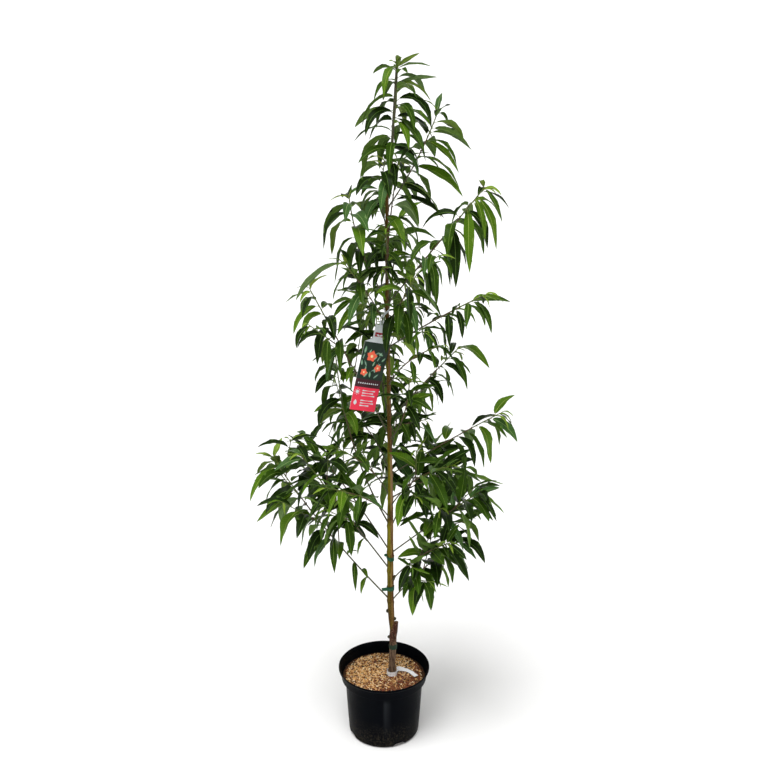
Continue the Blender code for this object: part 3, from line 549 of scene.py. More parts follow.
def shoot_leaves(shoot, points):
    """Every leaf of a shoot, and the side twigs as pairs of ends."""
    rng = random.Random(shoot.seed)
    start = rng.uniform(0.0, 360.0)
    leaves = []
    forks = []

    def leaf(base, ahead, turn, share, blade, root):
        around = turn + rng.uniform(-25.0, 25.0)
        spread = rng.uniform(48.0, 72.0) - 22.0 * share
        size = blade * (0.72 + 1.25 * share - 1.4 * share * share) * rng.uniform(0.88, 1.12)
        droop = shoot.sag * rng.uniform(0.75, 1.25) * (1.0 - 0.5 * share ** 6)
        sweep = rng.uniform(-22.0, 22.0)
        roll = rng.uniform(-38.0, 38.0)
        leaves.append(Leaf(base, ahead, around, spread, size, droop, sweep, roll, shoot.wide, root))

    for number in range(shoot.leaves):
        share = (number + 0.5) / shoot.leaves
        place = leaf_place(shoot, share)
        base, ahead = on_path(points, place)
        leaf(base, ahead, start + SPIRAL * number, share, shoot.blade, twig_radius(shoot, place))
    for fork in range(shoot.forks):
        base, ahead = on_path(points, shoot.bare + (1.0 - shoot.bare) * (0.08 + 0.24 * fork))
        side, top = across(ahead)
        around = math.radians(start + 70.0 + 137.5 * fork + rng.uniform(-20.0, 20.0))
        spread = math.radians(rng.uniform(34.0, 50.0))
        out = side * math.cos(around) + top * math.sin(around)
        aim = ahead * math.cos(spread) + out * math.sin(spread)
        reach = shoot.length * (0.36 - 0.05 * fork)
        forks.append((base, base + aim * reach))
        for number in range(FORK_LEAVES):
            share = (number + 0.5) / FORK_LEAVES
            spot = base + aim * reach * (0.15 + 0.85 * share)
            turn = start + SPIRAL * number + 60.0
            leaf(spot, aim, turn, 0.3 + 0.7 * share, shoot.blade * 0.92, FORK_RADIUS)
    return leaves, forks


def blade_shape(share):
    """Half width of a leaf along its length, as a share of its greatest half width."""
    if share <= 0.07 or share >= 1.0:
        return 0.0
    return math.sin(math.pi * ((share - 0.07) / 0.93) ** 0.72) ** 0.85


def leaf_frames(leaf, shares, turn=0.0):
    """Point, direction, side and face direction of a leaf's midrib at each share of its length."""
    side, top = across(leaf.ahead)
    around = math.radians(leaf.around + turn)
    spread = math.radians(leaf.spread)
    out = side * math.cos(around) + top * math.sin(around)
    aim = leaf.ahead * math.cos(spread) + out * math.sin(spread)
    heading = math.atan2(aim.y, aim.x)
    lift = math.asin(max(-1.0, min(1.0, aim.z)))
    droop = math.radians(leaf.droop)
    sweep = math.radians(leaf.sweep)
    roll = math.radians(leaf.roll)

    def course(share):
        rise = max(lift - droop * (1.0 - (1.0 - share) ** 1.6), STEEPEST)
        way = heading + sweep * share
        level = Vector((math.cos(way), math.sin(way), 0.0))
        return level * math.cos(rise) + Vector((0.0, 0.0, math.sin(rise))), Vector((-level.y, level.x, 0.0))

    steps = 24
    spots = [leaf.base.copy()]
    for step in range(steps):
        spots.append(spots[-1] + course((step + 0.5) / steps)[0] * (leaf.size / steps))
    frames = []
    for share in shares:
        spot = min(int(share * steps), steps - 1)
        point = spots[spot].lerp(spots[spot + 1], share * steps - spot)
        ahead, level = course(share)
        turned_side = Matrix.Rotation(roll, 3, ahead) @ level
        frames.append((point, ahead, turned_side, turned_side.cross(ahead) * -1.0))
    return frames


def wedge(leaf, turn, first):
    """The plain solid of a leaf with a margin round it, from a share of its length to the tip."""
    shares = [first, 0.22, 0.48, 0.75, 1.0]
    rings = []
    for share, (point, ahead, side, face) in zip(shares, leaf_frames(leaf, shares, turn)):
        if share in (0.0, 1.0):
            rings.append([point])
        else:
            half = max(leaf.size * leaf.wide * 0.5 * blade_shape(share), 0.0015) + LEAF_MARGIN
            deep = half * 2.0 * KEEL_DEPTH + LEAF_MARGIN
            rings.append([point - side * half, point + side * half, point - face * deep])
    return skin(rings)


def shell_of(points, faces):
    """Centre and radius of a ball round points, and the search tree over their faces."""
    middle = sum(points, Vector()) / len(points)
    return middle, max((point - middle).length for point in points), BVHTree.FromPolygons(points, faces)


class Space:
    """What stands in the crown; a leaf that would pass through something turns away or is left out."""

    def __init__(self):
        self.taken = []

    def add(self, owner, whole, blade=None):
        self.taken.append((owner, whole, blade or whole))

    def free(self, owner, shell, own):
        middle, reach, tree = shell
        for holder, whole, blade in self.taken:
            if (holder == owner) != own:
                continue
            centre, radius, other = blade if own else whole
            if (centre - middle).length < radius + reach and tree.overlap(other):
                return False
        return True


def turn_of(attempt):
    """Turns to try for a leaf, each further to one side or the other."""
    return 31.0 * ((attempt + 1) // 2) * (-1 if attempt % 2 else 1)


Plan = namedtuple("Plan", "shoot tag points leaves forks")


@functools.lru_cache(maxsize=1)
def crown_plan():
    """Every shoot with the leaves that grow on it: pairs of a leaf and the turn that it takes.

    A leaf of the solids keeps the turn that it has there. The others fill the space between.
    """
    space = Space()
    spots = {}
    for name, node in NODES.items():
        if name in ("pot", "soil"):
            continue
        tag = name[len("foliage_"):] if name.startswith("foliage_") else "hard"
        points = [v.co.copy() for v in node.data.vertices]
        space.add(tag, shell_of(points, [tuple(p.vertices) for p in node.data.polygons]))
        if tag != "hard":
            spots[tag] = KDTree(len(points))
            for number, point in enumerate(points):
                spots[tag].insert(point, number)
            spots[tag].balance()

    def inside(points):
        low, high = CAD_BOX
        return all(low[i] - REACH < point[i] < high[i] + REACH for point in points for i in range(3))

    def place(tag, leaf, first):
        for turn in tries:
            points, faces = wedge(leaf, turn, first)
            if not inside(points):
                continue
            whole = shell_of(points, faces)
            blade = shell_of(*wedge(leaf, turn, 0.2))
            if space.free(tag, whole, own=False) and space.free(tag, blade, own=True):
                space.add(tag, whole, blade)
                return [(leaf, turn)]
        return []

    tries = [turn_of(attempt) for attempt in range(LEAF_TRIES)]
    plans = []
    for number, shoot in enumerate(SHOOTS):
        tag = "%02d" % number if shoot.length else "leader"
        points = shoot_path(shoot)
        leaves, forks = shoot_leaves(shoot, points)
        kept = [spots[tag].find(high)[2] < 0.002 for low, high in forks]
        grown = []
        extra = []
        for spot, leaf in enumerate(leaves):
            fork = (spot - shoot.leaves) // FORK_LEAVES if spot >= shoot.leaves else None
            if fork is not None and not kept[fork]:
                continue
            solid = [turn for turn in tries
                     if spots[tag].find(leaf_frames(leaf, [1.0], turn)[0][0])[2] < 0.00005]
            if solid:
                grown.append((leaf, solid[0]))
            else:
                extra.append(leaf)
        shown = [pair for pair, there in zip(forks, kept) if there]
        plans.append((Plan(shoot, tag, points, grown, shown), extra))
    for plan, extra in plans:
        for leaf in single_leaves(plan):
            plan.leaves.extend(place(plan.tag, leaf, 0.17))
    for plan, extra in plans:
        for leaf in extra + tip_leaves(plan):
            plan.leaves.extend(place(plan.tag, leaf, 0.0))
        for leaf in stem_leaves(plan):
            plan.leaves.extend(place(plan.tag, leaf, 0.17))
    return [plan for plan, extra in plans]


def tip_leaves(plan):
    """The small folded leaves that open at the end of a shoot and of its side twigs."""
    shoot = plan.shoot
    rng = random.Random(shoot.seed + 4000)
    made = []
    end, ahead = on_path(plan.points, 0.9999)
    ends = [(end, ahead, 3, 1.0)] + [(high, (high - low).normalized(), 2, 0.8) for low, high in plan.forks]
    for base, along, count, size in ends:
        start = rng.uniform(0.0, 360.0)
        for number in range(count):
            root = base - along * (0.002 + 0.006 * number)
            length = shoot.blade * size * rng.uniform(0.30, 0.48)
            made.append(Leaf(root, along, start + SPIRAL * number, rng.uniform(18.0, 44.0), length,
                             rng.uniform(40.0, 110.0), rng.uniform(-15.0, 15.0), rng.uniform(-30.0, 30.0),
                             0.19, 0.001))
    return made


def stem_leaves(plan):
    """The leaves that the stem itself carries below its tip."""
    if plan.shoot.length:
        return []
    rng = random.Random(plan.shoot.seed + 5000)
    made = []
    low, high = STEM_LEAVES
    for number in range(STEM_LEAF_COUNT):
        height = low + (high - low) * (number + rng.uniform(-0.3, 0.3)) / STEM_LEAF_COUNT
        ahead = (stem_point(height + 0.01) - stem_point(height - 0.01)).normalized()
        made.append(Leaf(stem_point(height), ahead, 265.0 + SPIRAL * number, rng.uniform(48.0, 66.0),
                         rng.uniform(0.105, 0.140), rng.uniform(95.0, 135.0), rng.uniform(-15.0, 15.0),
                         rng.uniform(-25.0, 25.0), 0.21, stem_value(height, "radius")))
    return made


def single_leaves(plan):
    """The leaves of a shoot that stand out in the front view."""
    shoot, points = plan.shoot, plan.points
    return [Leaf(*on_path(points, single.place * 0.9999), *single[2:], twig_radius(shoot, single.place))
            for single in SINGLES if single.shoot == shoot.name]


# Shares of a leaf's length where its blade has a cross-section.
BLADE_SHARES = (0.085, 0.15, 0.25, 0.36, 0.48, 0.60, 0.72, 0.83, 0.92)
# Radii of a leaf's stalk at its foot, its middle and the foot of the blade.
STALK_RADII = (0.0010, 0.0007, 0.0006)


def leaf_skin(leaf, turn, rng, settings):
    """One leaf: a folded, waved blade of two skins with a midrib, and its stalk.

    Looks are 0 for the upper skin, 1 for the lower skin and 2 for the midrib and stalk.
    """
    frames = leaf_frames(leaf, list(BLADE_SHARES) + [1.0], turn)
    fold = settings.fold * rng.uniform(0.6, 1.25)
    twist = math.radians(rng.uniform(-20.0, 20.0))
    waves = rng.uniform(1.6, 3.2)
    phase = rng.uniform(0.0, 6.28)
    rings = []
    spots = []
    for share, (point, ahead, side, face) in zip(BLADE_SHARES, frames):
        half = max(leaf.size * leaf.wide * 0.5 * blade_shape(share), 0.0009)
        rib = min(settings.rib_width * 0.5 * (1.25 - share) / half, 0.4)
        deep = half * fold
        under = -deep - settings.thickness * 1.9
        bend = Matrix.Rotation(twist * share, 3, ahead)
        side, face = bend @ side, bend @ face
        swell = settings.wave * half * math.sin(math.pi * share)
        left, right = [math.sin(waves * 6.28 * share + phase + extra) * swell for extra in (0.0, 1.9)]
        # Upper skin from margin to margin, then the midrib's lower side.
        row = ((-1.0, left), (-0.52, left * 0.3 - deep * 0.36), (-rib, -deep), (rib, -deep),
               (0.52, right * 0.3 - deep * 0.36), (1.0, right), (rib * 1.3, under), (-rib * 1.3, under))
        rings.append([point + side * (x * half) + face * z for x, z in row])
        spots.extend((share * leaf.size, x * half) for x, z in row)
    rings.append([frames[-1][0]])
    spots.append((leaf.size, 0.0))
    points, faces = skin(rings)
    looks = [0, 0, 2, 0, 0, 1, 2, 1] * len(BLADE_SHARES) + [2]
    rims = [8 * row + corner for row in range(len(BLADE_SHARES)) for corner in (0, 5)] + [len(points) - 1]
    stalk = []
    for number, (point, ahead, side, face) in enumerate(leaf_frames(leaf, [0.0, 0.05, 0.11], turn)):
        spot = point - ahead * (leaf.root * 0.4 if number == 0 else 0.0) - face * (0.0004 * number)
        out, up = side * STALK_RADII[number], face * STALK_RADII[number]
        stalk.append([spot - out, spot + up * 0.8, spot + out, spot - up])
    more, sides = skin(stalk)
    start = len(points)
    faces = faces + [tuple(start + i for i in face) for face in sides]
    return points + more, faces, looks + [2] * len(sides), spots + [(0.0, 0.0)] * len(more), rims


def scaled(colour, factor):
    """A colour made darker or lighter by a factor."""
    return [min(part * factor, 1.0) for part in colour[:3]] + [1.0]


def leaf_top_material(name, colour):
    """Upper skin of a leaf: a cuticle of wax gives a soft gloss over uneven green, with fine side veins."""
    made, tree, shader = new_material(name, 0.36, 0.06)
    green = coated(tree, scaled(colour, 0.72), scaled(colour, 1.22), sized_noise(tree, 16.0))
    chart = add_node(tree, "ShaderNodeUVMap", uv_map="UVMap")
    spot = add_node(tree, "ShaderNodeSeparateXYZ", {0: chart}).outputs
    out = add_node(tree, "ShaderNodeMath", {0: spot["Y"]}, operation="ABSOLUTE")
    slant = add_node(tree, "ShaderNodeMath", {0: out, 1: -0.75, 2: spot["X"]}, operation="MULTIPLY_ADD")
    turns = add_node(tree, "ShaderNodeMath", {0: slant, 1: 6.283 / VEIN_SPACING}, operation="MULTIPLY")
    wave = add_node(tree, "ShaderNodeMath", {0: turns}, operation="SINE")
    vein = add_node(tree, "ShaderNodeMapRange", {0: wave, 1: 0.72})
    relief = add_node(tree, "ShaderNodeBump", {"Height": vein, "Distance": -0.0003, "Strength": 0.6})
    veined = coated(tree, green, scaled(colour, 1.75), vein, most=0.35)
    feed(tree, shader, {"Base Color": veined, "Normal": relief})
    return made


def leaf_under_material(name, code):
    """Lower skin and midrib of a leaf: paler and matt, because it has almost no wax."""
    made, tree, shader = new_material(name, 0.6, 0.05)
    colour = linear(code)
    uneven = coated(tree, scaled(colour, 0.85), scaled(colour, 1.12), sized_noise(tree, 9.0))
    feed(tree, shader, {"Base Color": uneven})
    return made


def fibrous_material(name, light, dark, roughness, millimetres, relief, level=0.4):
    """Wood-like skin: light and dark fibres of a width in millimetres, with a relief in metres."""
    made, tree, shader = new_material(name, roughness, level)
    fibres = sized_noise(tree, millimetres, 4.0)
    feed(tree, shader, {"Base Color": coated(tree, linear(dark), linear(light), fibres, 0.35, 0.65),
                        "Normal": add_node(tree, "ShaderNodeBump", {"Height": fibres, "Distance": relief})})
    return made


def scion_bark_material(settings):
    """Smooth young peach bark: olive on the shaded side, tan to red-brown on the sunny one, with cross marks.

    The UV map holds how sunny a spot of the stem is, and its height.
    """
    made, tree, shader = new_material("smooth_young_peach_bark", 0.55, 0.05)
    strands = sized_noise(tree, 4.0, 4.0, 0.07)
    chart = add_node(tree, "ShaderNodeUVMap", uv_map="UVMap")
    spot = add_node(tree, "ShaderNodeSeparateXYZ", {0: chart}).outputs
    ragged = add_node(tree, "ShaderNodeMath", {0: strands, 1: 0.5, 2: spot["X"]}, operation="MULTIPLY_ADD")
    warm = coated(tree, settings.red, settings.tan, strands, 0.38, 0.62)
    # The sunny side is pale and pinkish between the low shoots.
    warm = coated(tree, warm, linear("A58464"), spot["Y"], 0.56, 0.70, 0.75)
    green = coated(tree, scaled(settings.olive, 0.42), settings.olive, strands, 0.36, 0.60)
    base = coated(tree, green, warm, ragged, 0.58, 0.80)
    # Darker red-brown patches 45 mm long grow denser toward the foot, and the wood in the crown is brown all
    # over.
    darker_patches = sized_noise(tree, 45.0, 2.0, 0.6)
    for low, high, most in ((0.56, 0.36, 0.22), (0.80, 0.87, 0.34)):
        share = add_node(tree, "ShaderNodeMapRange", {0: spot["Y"], 1: low, 2: high, 4: most})
        darker_patches = add_node(tree, "ShaderNodeMath", {0: darker_patches, 1: share}, operation="ADD")
    base = coated(tree, base, scaled(settings.red, 0.6), darker_patches, 0.58, 0.74, 0.8)
    # Below 0.61 m the bark is darkened toward the foot, the most from 0.46 m down.
    base = coated(tree, base, scaled(settings.red, 0.5), spot["Y"], 0.61, 0.46, 0.52)
    # Cross marks (lenticels): short dashes about 3 mm wide and 1 mm high.
    marks = add_node(tree, "ShaderNodeMapRange", {0: sized_noise(tree, 3.2, 1.0, 2.6), 1: 0.64, 2: 0.72})
    height = add_node(tree, "ShaderNodeMath", {0: marks, 1: strands}, operation="ADD")
    feed(tree, shader, {"Base Color": coated(tree, base, linear("B99A62"), marks, most=0.4),
                        "Normal": add_node(tree, "ShaderNodeBump", {"Height": height, "Distance": 0.0004})})
    return made


def rootstock_bark_material(settings):
    """Older bark with grooves along it: grey-brown and speckled at the foot, red-brown near the graft."""
    made, tree, shader = new_material("grooved_rootstock_bark", 0.85, 0.08)
    grooves = sized_noise(tree, 3.4, 5.0, 0.16)
    coordinates = add_node(tree, "ShaderNodeTexCoord").outputs["Object"]
    place = add_node(tree, "ShaderNodeSeparateXYZ", {0: coordinates}).outputs
    dull = coated(tree, settings.rootstock, linear("7A6450"), sized_noise(tree, 22.0, 2.0), 0.4, 0.62)
    dull = coated(tree, dull, linear("4C2C22"), place["Z"], 0.262, 0.290)
    base = coated(tree, linear("241610"), dull, grooves, 0.34, 0.56)
    # Pale specks about 2 mm wide.
    specks = sized_noise(tree, 2.2, 1.0)
    speckled = coated(tree, base, scaled(settings.rootstock, 1.9), specks, 0.60, 0.68, 0.6)
    feed(tree, shader, {"Base Color": speckled,
                        "Normal": add_node(tree, "ShaderNodeBump", {"Height": grooves, "Distance": 0.0009})})
    return made


def pot_material(settings):
    """Moulded black polypropylene: dull satin black, with soil dust near the foot and a painted sheen, a
    lighter vertical band.
    """
    made, tree, shader = new_material("satin_moulded_polypropylene", 0.34, 0.015)
    coordinates = add_node(tree, "ShaderNodeTexCoord").outputs["Object"]
    place = add_node(tree, "ShaderNodeSeparateXYZ", {0: coordinates}).outputs
    low = add_node(tree, "ShaderNodeMapRange", {0: place["Z"], 1: 0.085, 2: 0.004})
    left = add_node(tree, "ShaderNodeMapRange", {0: place["X"], 1: -0.06, 2: -0.11, 4: 0.5})
    where = add_node(tree, "ShaderNodeMath", {0: low, 1: left}, operation="ADD")
    specks = add_node(tree, "ShaderNodeMapRange", {0: sized_noise(tree, 4.5, 6.0), 1: 0.46, 2: 0.70})
    dust = add_node(tree, "ShaderNodeMath", {0: specks, 1: where}, operation="MULTIPLY")
    dust = add_node(tree, "ShaderNodeMath", {0: dust, 1: settings.dust}, operation="MULTIPLY", use_clamp=True)
    # The painted sheen is a lighter vertical band about 18 mm wide on the -Y side, standing in for a
    # reflection; it fades toward the foot.
    band = add_node(tree, "ShaderNodeMapRange", {0: place["Y"], 1: -0.05, 2: -0.09})
    for axis, start, end in (("X", -0.004, 0.003), ("X", 0.021, 0.004),
                             ("Z", 0.160, 0.145), ("Z", 0.020, 0.150)):
        edge = add_node(tree, "ShaderNodeMapRange", {0: place[axis], 1: start, 2: end})
        band = add_node(tree, "ShaderNodeMath", {0: band, 1: edge}, operation="MULTIPLY")
    painted_sheen = coated(tree, settings.plastic, linear("202225"), band)
    # Moulding streaks change the gloss a little, and dust takes it away.
    streaks = sized_noise(tree, 14.0, 2.0, 0.12)
    gloss = add_node(tree, "ShaderNodeMapRange", {0: streaks, 1: 0.3, 2: 0.7, 3: 0.3, 4: 0.42})
    rough = add_node(tree, "ShaderNodeMath", {0: dust, 1: 0.5, 2: gloss}, operation="MULTIPLY_ADD")
    grain = add_node(tree, "ShaderNodeBump", {"Height": sized_noise(tree, 1.2, 2.0), "Distance": 0.00012})
    feed(tree, shader, {"Base Color": coated(tree, painted_sheen, linear("463F31"), dust), "Roughness": rough,
                        "Normal": grain})
    return made


def film_material(name, colour, smudge, roughness, millimetres, level):
    """Thin plastic film: even colour with handling marks and small creases."""
    made, tree, shader = new_material(name, roughness, level)
    marks = sized_noise(tree, millimetres)
    creases = add_node(tree, "ShaderNodeBump", {"Height": marks, "Distance": 0.0004, "Strength": 0.5})
    marked = coated(tree, linear(colour), linear(smudge), marks, 0.45, 0.75, 0.7)
    feed(tree, shader, {"Base Color": marked, "Normal": creases})
    return made


def print_material(name, code):
    """Ink on coated card: an even colour under a thin gloss, with a faint unevenness of the card."""
    made, tree, shader = new_material(name, 0.34, 0.25)
    colour = linear(code)
    uneven = coated(tree, scaled(colour, 0.93), scaled(colour, 1.05), sized_noise(tree, 7.0, 2.0))
    feed(tree, shader, {"Base Color": uneven})
    return made


def colour_field(name, description, code):
    """A colour property whose default is a hex colour."""
    return FloatVectorProperty(name=name, description=description, subtype="COLOR", size=4, min=0.0, max=1.0,
                               default=linear(code))


def length_field(name, description, metres, least=0.0):
    """A length property in metres."""
    return FloatProperty(name=name, description=description, unit="LENGTH", min=least, default=metres)


class PotSettings(PropertyGroup):
    plastic: colour_field("Plastic", "Colour of the moulded plastic", "05070B")
    dust: FloatProperty(name="Dust", description="How much soil dust lies on the wall", default=0.55, min=0.0,
                        max=1.0)
    steps: IntProperty(name="Steps", description="Faces round the pot", default=144, min=48, max=288)


class MulchSettings(PropertyGroup):
    density: FloatProperty(name="Density", description="Chips per square metre", default=66000.0, min=0.0)
    length: length_field("Chip length", "Length of a middling chip", 0.0076, 0.001)
    seed: IntProperty(name="Seed", description="Which chips fall where", default=4, min=0)


class BarkSettings(PropertyGroup):
    olive: colour_field("Olive", "Shaded side of the stem", "827A1A")
    tan: colour_field("Tan", "Light strands of the sunny side", "A88A4A")
    red: colour_field("Red-brown", "Dark strands of the sunny side", "5A3820")
    rootstock: colour_field("Rootstock", "Bark below the graft", "6A5746")
    relief: length_field("Relief", "Depth of the bark's grooves", 0.0004)


class LeafSettings(PropertyGroup):
    # Older leaves, and partly painted shade: a dark green that more leaves of the lower crown take.
    deep: colour_field("Deep", "Older leaves", "192B07")
    mid: colour_field("Mid", "Full-grown leaves", "304B0E")
    fresh: colour_field("Fresh", "Leaves of this summer", "4D6E17")
    # A painted reflection of the sky: a bluish green that some leaves take in place of their own green.
    waxy: colour_field("Waxy", "Leaves with a bluish bloom", "3E5E2C")
    young: colour_field("Young", "Leaves that have just opened", "6E8A2A")
    fold: FloatProperty(name="Fold", description="Depth of a leaf's fold for its half width", default=0.34,
                        min=0.0)
    wave: FloatProperty(name="Wave", description="Height of the margin's waves for its half width",
                        default=0.16, min=0.0)
    thickness: length_field("Thickness", "Thickness of a leaf", 0.00032, 0.0001)
    rib_width: length_field("Midrib", "Width of the midrib", 0.0013, 0.0002)


class StageSettings(PropertyGroup):
    floor: colour_field("Floor", "Colour of the floor", "F4F4F4")
    key: FloatProperty(name="Overhead light", description="Strength of the light from above", default=2.6,
                       min=0.0)
    fill: FloatProperty(name="Front light", description="Power of the front light", default=10.0, min=0.0,
                        unit="POWER")
    sky: FloatProperty(name="Room light", description="Strength of the light all round", default=0.47,
                       min=0.0)


def around(radius, height, count, way=1):
    """A level ring about the Z axis, anticlockwise as seen from above, or clockwise if the way is -1."""
    angles = [way * 2.0 * math.pi * number / count for number in range(count)]
    return [Vector((math.cos(angle) * radius, math.sin(angle) * radius, height)) for angle in angles]


class PEACH_OT_stage(Operator):
    """Camera, pale floor and soft lights"""
    bl_idname = "peach_tree.stage"
    bl_label = "Stage"

    def execute(self, context):
        settings = context.scene.peach_stage
        camera = bpy.data.objects.new("camera", bpy.data.cameras.new("camera"))
        context.scene.collection.objects.link(camera)
        camera.location = CAMERA_PLACE
        camera.rotation_euler = (math.radians(90.0 - CAMERA_PITCH), 0.0, 0.0)
        camera.data.sensor_width = 36.0
        camera.data.lens = CAMERA_LENS
        camera.data.clip_end = 60.0
        context.scene.camera = camera
        # The floor is a wide bowl that rises slowly, so that no horizon shows from any side.
        rings = [around(0.5, 0.0, BOWL_SIDES)]
        for step in range(BOWL_RINGS):
            rise = math.pi / 2 * step / (BOWL_RINGS - 1)
            rings.append(around(BOWL_FLAT + BOWL_REACH * math.sin(rise), BOWL_HEIGHT * (1.0 - math.cos(rise)),
                                BOWL_SIDES))
        shape = Shape()
        points, faces = skin(rings)
        shape.add(points, faces[:-2] + [tuple(range(BOWL_SIDES))])
        look, tree, shader = new_material("matt_studio_paper", 0.95, 0.1)
        feed(tree, shader, {"Base Color": settings.floor})
        add_object("floor", shape.mesh("floor"), [look])
        sun = bpy.data.lights.new("overhead_light", "SUN")
        sun.energy = settings.key
        sun.angle = math.radians(SUN_ANGLE)
        soft = bpy.data.lights.new("front_light", "AREA")
        soft.shape = "DISK"
        soft.size = SOFT_SIZE
        soft.energy = settings.fill
        for data, place, target in ((sun, (-0.7, -1.2, 5.0), (0.0, 0.0, 0.9)),
                                    (soft, (0.9, -3.4, 2.0), (0.0, 0.0, 0.8))):
            light = bpy.data.objects.new(data.name, data)
            context.scene.collection.objects.link(light)
            light.location = place
            light.rotation_euler = (Vector(target) - Vector(place)).to_track_quat("-Z", "Y").to_euler()
        world = bpy.data.worlds.new("room")
        world.use_nodes = True
        feed(world.node_tree, world.node_tree.nodes["Background"],
             {"Color": (1.0, 0.99, 0.975, 1.0), "Strength": settings.sky})
        context.scene.world = world
        context.scene.view_settings.view_transform = "Standard"
        return {"FINISHED"}


def turned(name, profile, steps):
    """A closed mesh of a profile of radius and height pairs, turned round the Z axis."""
    made = bpy.data.meshes.new(name)
    made.from_pydata([(r, 0.0, z) for r, z in profile], [(i, i + 1) for i in range(len(profile) - 1)], [])
    obj = bpy.data.objects.new(name, made)
    bpy.context.scene.collection.objects.link(obj)
    screw = obj.modifiers.new("turn", "SCREW")
    screw.steps = steps
    screw.render_steps = steps
    screw.use_merge_vertices = True
    screw.merge_threshold = 0.00001
    return obj


def outward(mesh):
    """Merges a mesh's doubles and turns its faces outwards."""
    shape = bmesh.new()
    shape.from_mesh(mesh)
    bmesh.ops.remove_doubles(shape, verts=shape.verts, dist=0.000002)
    bmesh.ops.recalc_face_normals(shape, faces=shape.faces)
    shape.to_mesh(mesh)
    shape.free()


def pot_profile():
    """Radius and height pairs of the pot's section, from the inside over the lip to the foot."""
    wall, lip, collar, foot = POT_WALL, LIP_RADIUS, COLLAR_FOOT_RADIUS, FOOT_RADIUS
    inside = [(0.0, wall * 2), (0.06, wall * 2), (FLAT_RADIUS - 0.001, wall * 2), (foot - wall, 0.0100),
              (SHOULDER_RADIUS - wall, COLLAR_FOOT + 0.0006), (collar - wall, COLLAR_FOOT + 0.0030),
              (0.1172, 0.1760), (COLLAR_TOP_RADIUS - wall, POT_HEIGHT - 0.0110), (0.1208, 0.1935)]
    rolled = [(lip - 0.0024, 0.1984), (lip - 0.0019, 0.1996), (lip - 0.0012, POT_HEIGHT),
              (lip - 0.0006, 0.1998), (lip - 0.0001, 0.1992), (lip, 0.1980), (lip, 0.1945),
              (lip - 0.0004, 0.1937), (lip - 0.0014, 0.1932)]
    outside = [(0.1216, 0.1912), (COLLAR_TOP_RADIUS, POT_HEIGHT - 0.0110), (0.1187, 0.1770),
               (collar + 0.0002, COLLAR_FOOT + 0.0030), (collar, COLLAR_FOOT + 0.0012),
               (collar - 0.0004, COLLAR_FOOT + 0.0003), (collar - 0.0012, COLLAR_FOOT),
               (SHOULDER_RADIUS + 0.0010, COLLAR_FOOT - 0.0006),
               (SHOULDER_RADIUS + 0.0002, COLLAR_FOOT - 0.0012),
               (SHOULDER_RADIUS - 0.0002, COLLAR_FOOT - 0.0030), (0.1038, 0.1100), (0.1004, 0.0550),
               (foot, 0.0100), (foot - 0.0005, 0.0066), (foot - 0.0016, 0.0040), (foot - 0.0036, 0.0015),
               (FLAT_RADIUS, 0.0), (0.06, 0.0), (0.0, 0.0)]
    return inside + rolled + outside


class PEACH_OT_pot(Operator):
    """Round pot with a collar, a rolled lip and drainage notches"""
    bl_idname = "peach_tree.pot"
    bl_label = "Pot"

    def execute(self, context):
        settings = context.scene.peach_pot
        pot = turned("nursery_pot", pot_profile(), settings.steps)
        cutters = bpy.data.collections.new("notch_cutters")
        context.scene.collection.children.link(cutters)
        for number in range(NOTCHES):
            angle = math.radians(NOTCH_START + 360.0 / NOTCHES * number)
            shape = bmesh.new()
            bmesh.ops.create_cone(shape, cap_ends=True, segments=40, radius1=1.0, radius2=1.0, depth=1.0)
            mesh = bpy.data.meshes.new("notch_cutter")
            shape.to_mesh(mesh)
            shape.free()
            size = Matrix.Diagonal((NOTCH_DEPTH, NOTCH_WIDTH / 2, NOTCH_HEIGHT, 1.0))
            lie = Matrix.Translation((math.cos(angle) * NOTCH_PLACE, math.sin(angle) * NOTCH_PLACE, 0.0))
            mesh.transform(lie @ Matrix.Rotation(angle, 4, "Z") @ size @ Matrix.Rotation(math.pi / 2, 4, "Y"))
            cutters.objects.link(bpy.data.objects.new("notch_cutter_%d" % number, mesh))
        cut = pot.modifiers.new("notches", "BOOLEAN")
        cut.operation = "DIFFERENCE"
        cut.operand_type = "COLLECTION"
        cut.collection = cutters
        cut.solver = "EXACT"
        mesh = applied(pot).data
        for cutter in list(cutters.objects):
            bpy.data.objects.remove(cutter)
        bpy.data.collections.remove(cutters)
        outward(mesh)
        mesh.polygons.foreach_set("use_smooth", [True] * len(mesh.polygons))
        mesh.set_sharp_from_angle(angle=math.radians(40.0))
        mesh.materials.clear()
        mesh.materials.append(pot_material(settings))
        settled(pot, "pot_plastic", "pot")
        return {"FINISHED"}


def mulch_height(x, y):
    """Height of the compost between the chips."""
    coarse = noise.noise(Vector((x * 60.0, y * 60.0, 3.0)))
    fine = noise.noise(Vector((x * 160.0, y * 160.0, 7.0)))
    return SOIL_TOP - 0.0026 + 0.0014 * (coarse * 0.6 + fine * 0.4)


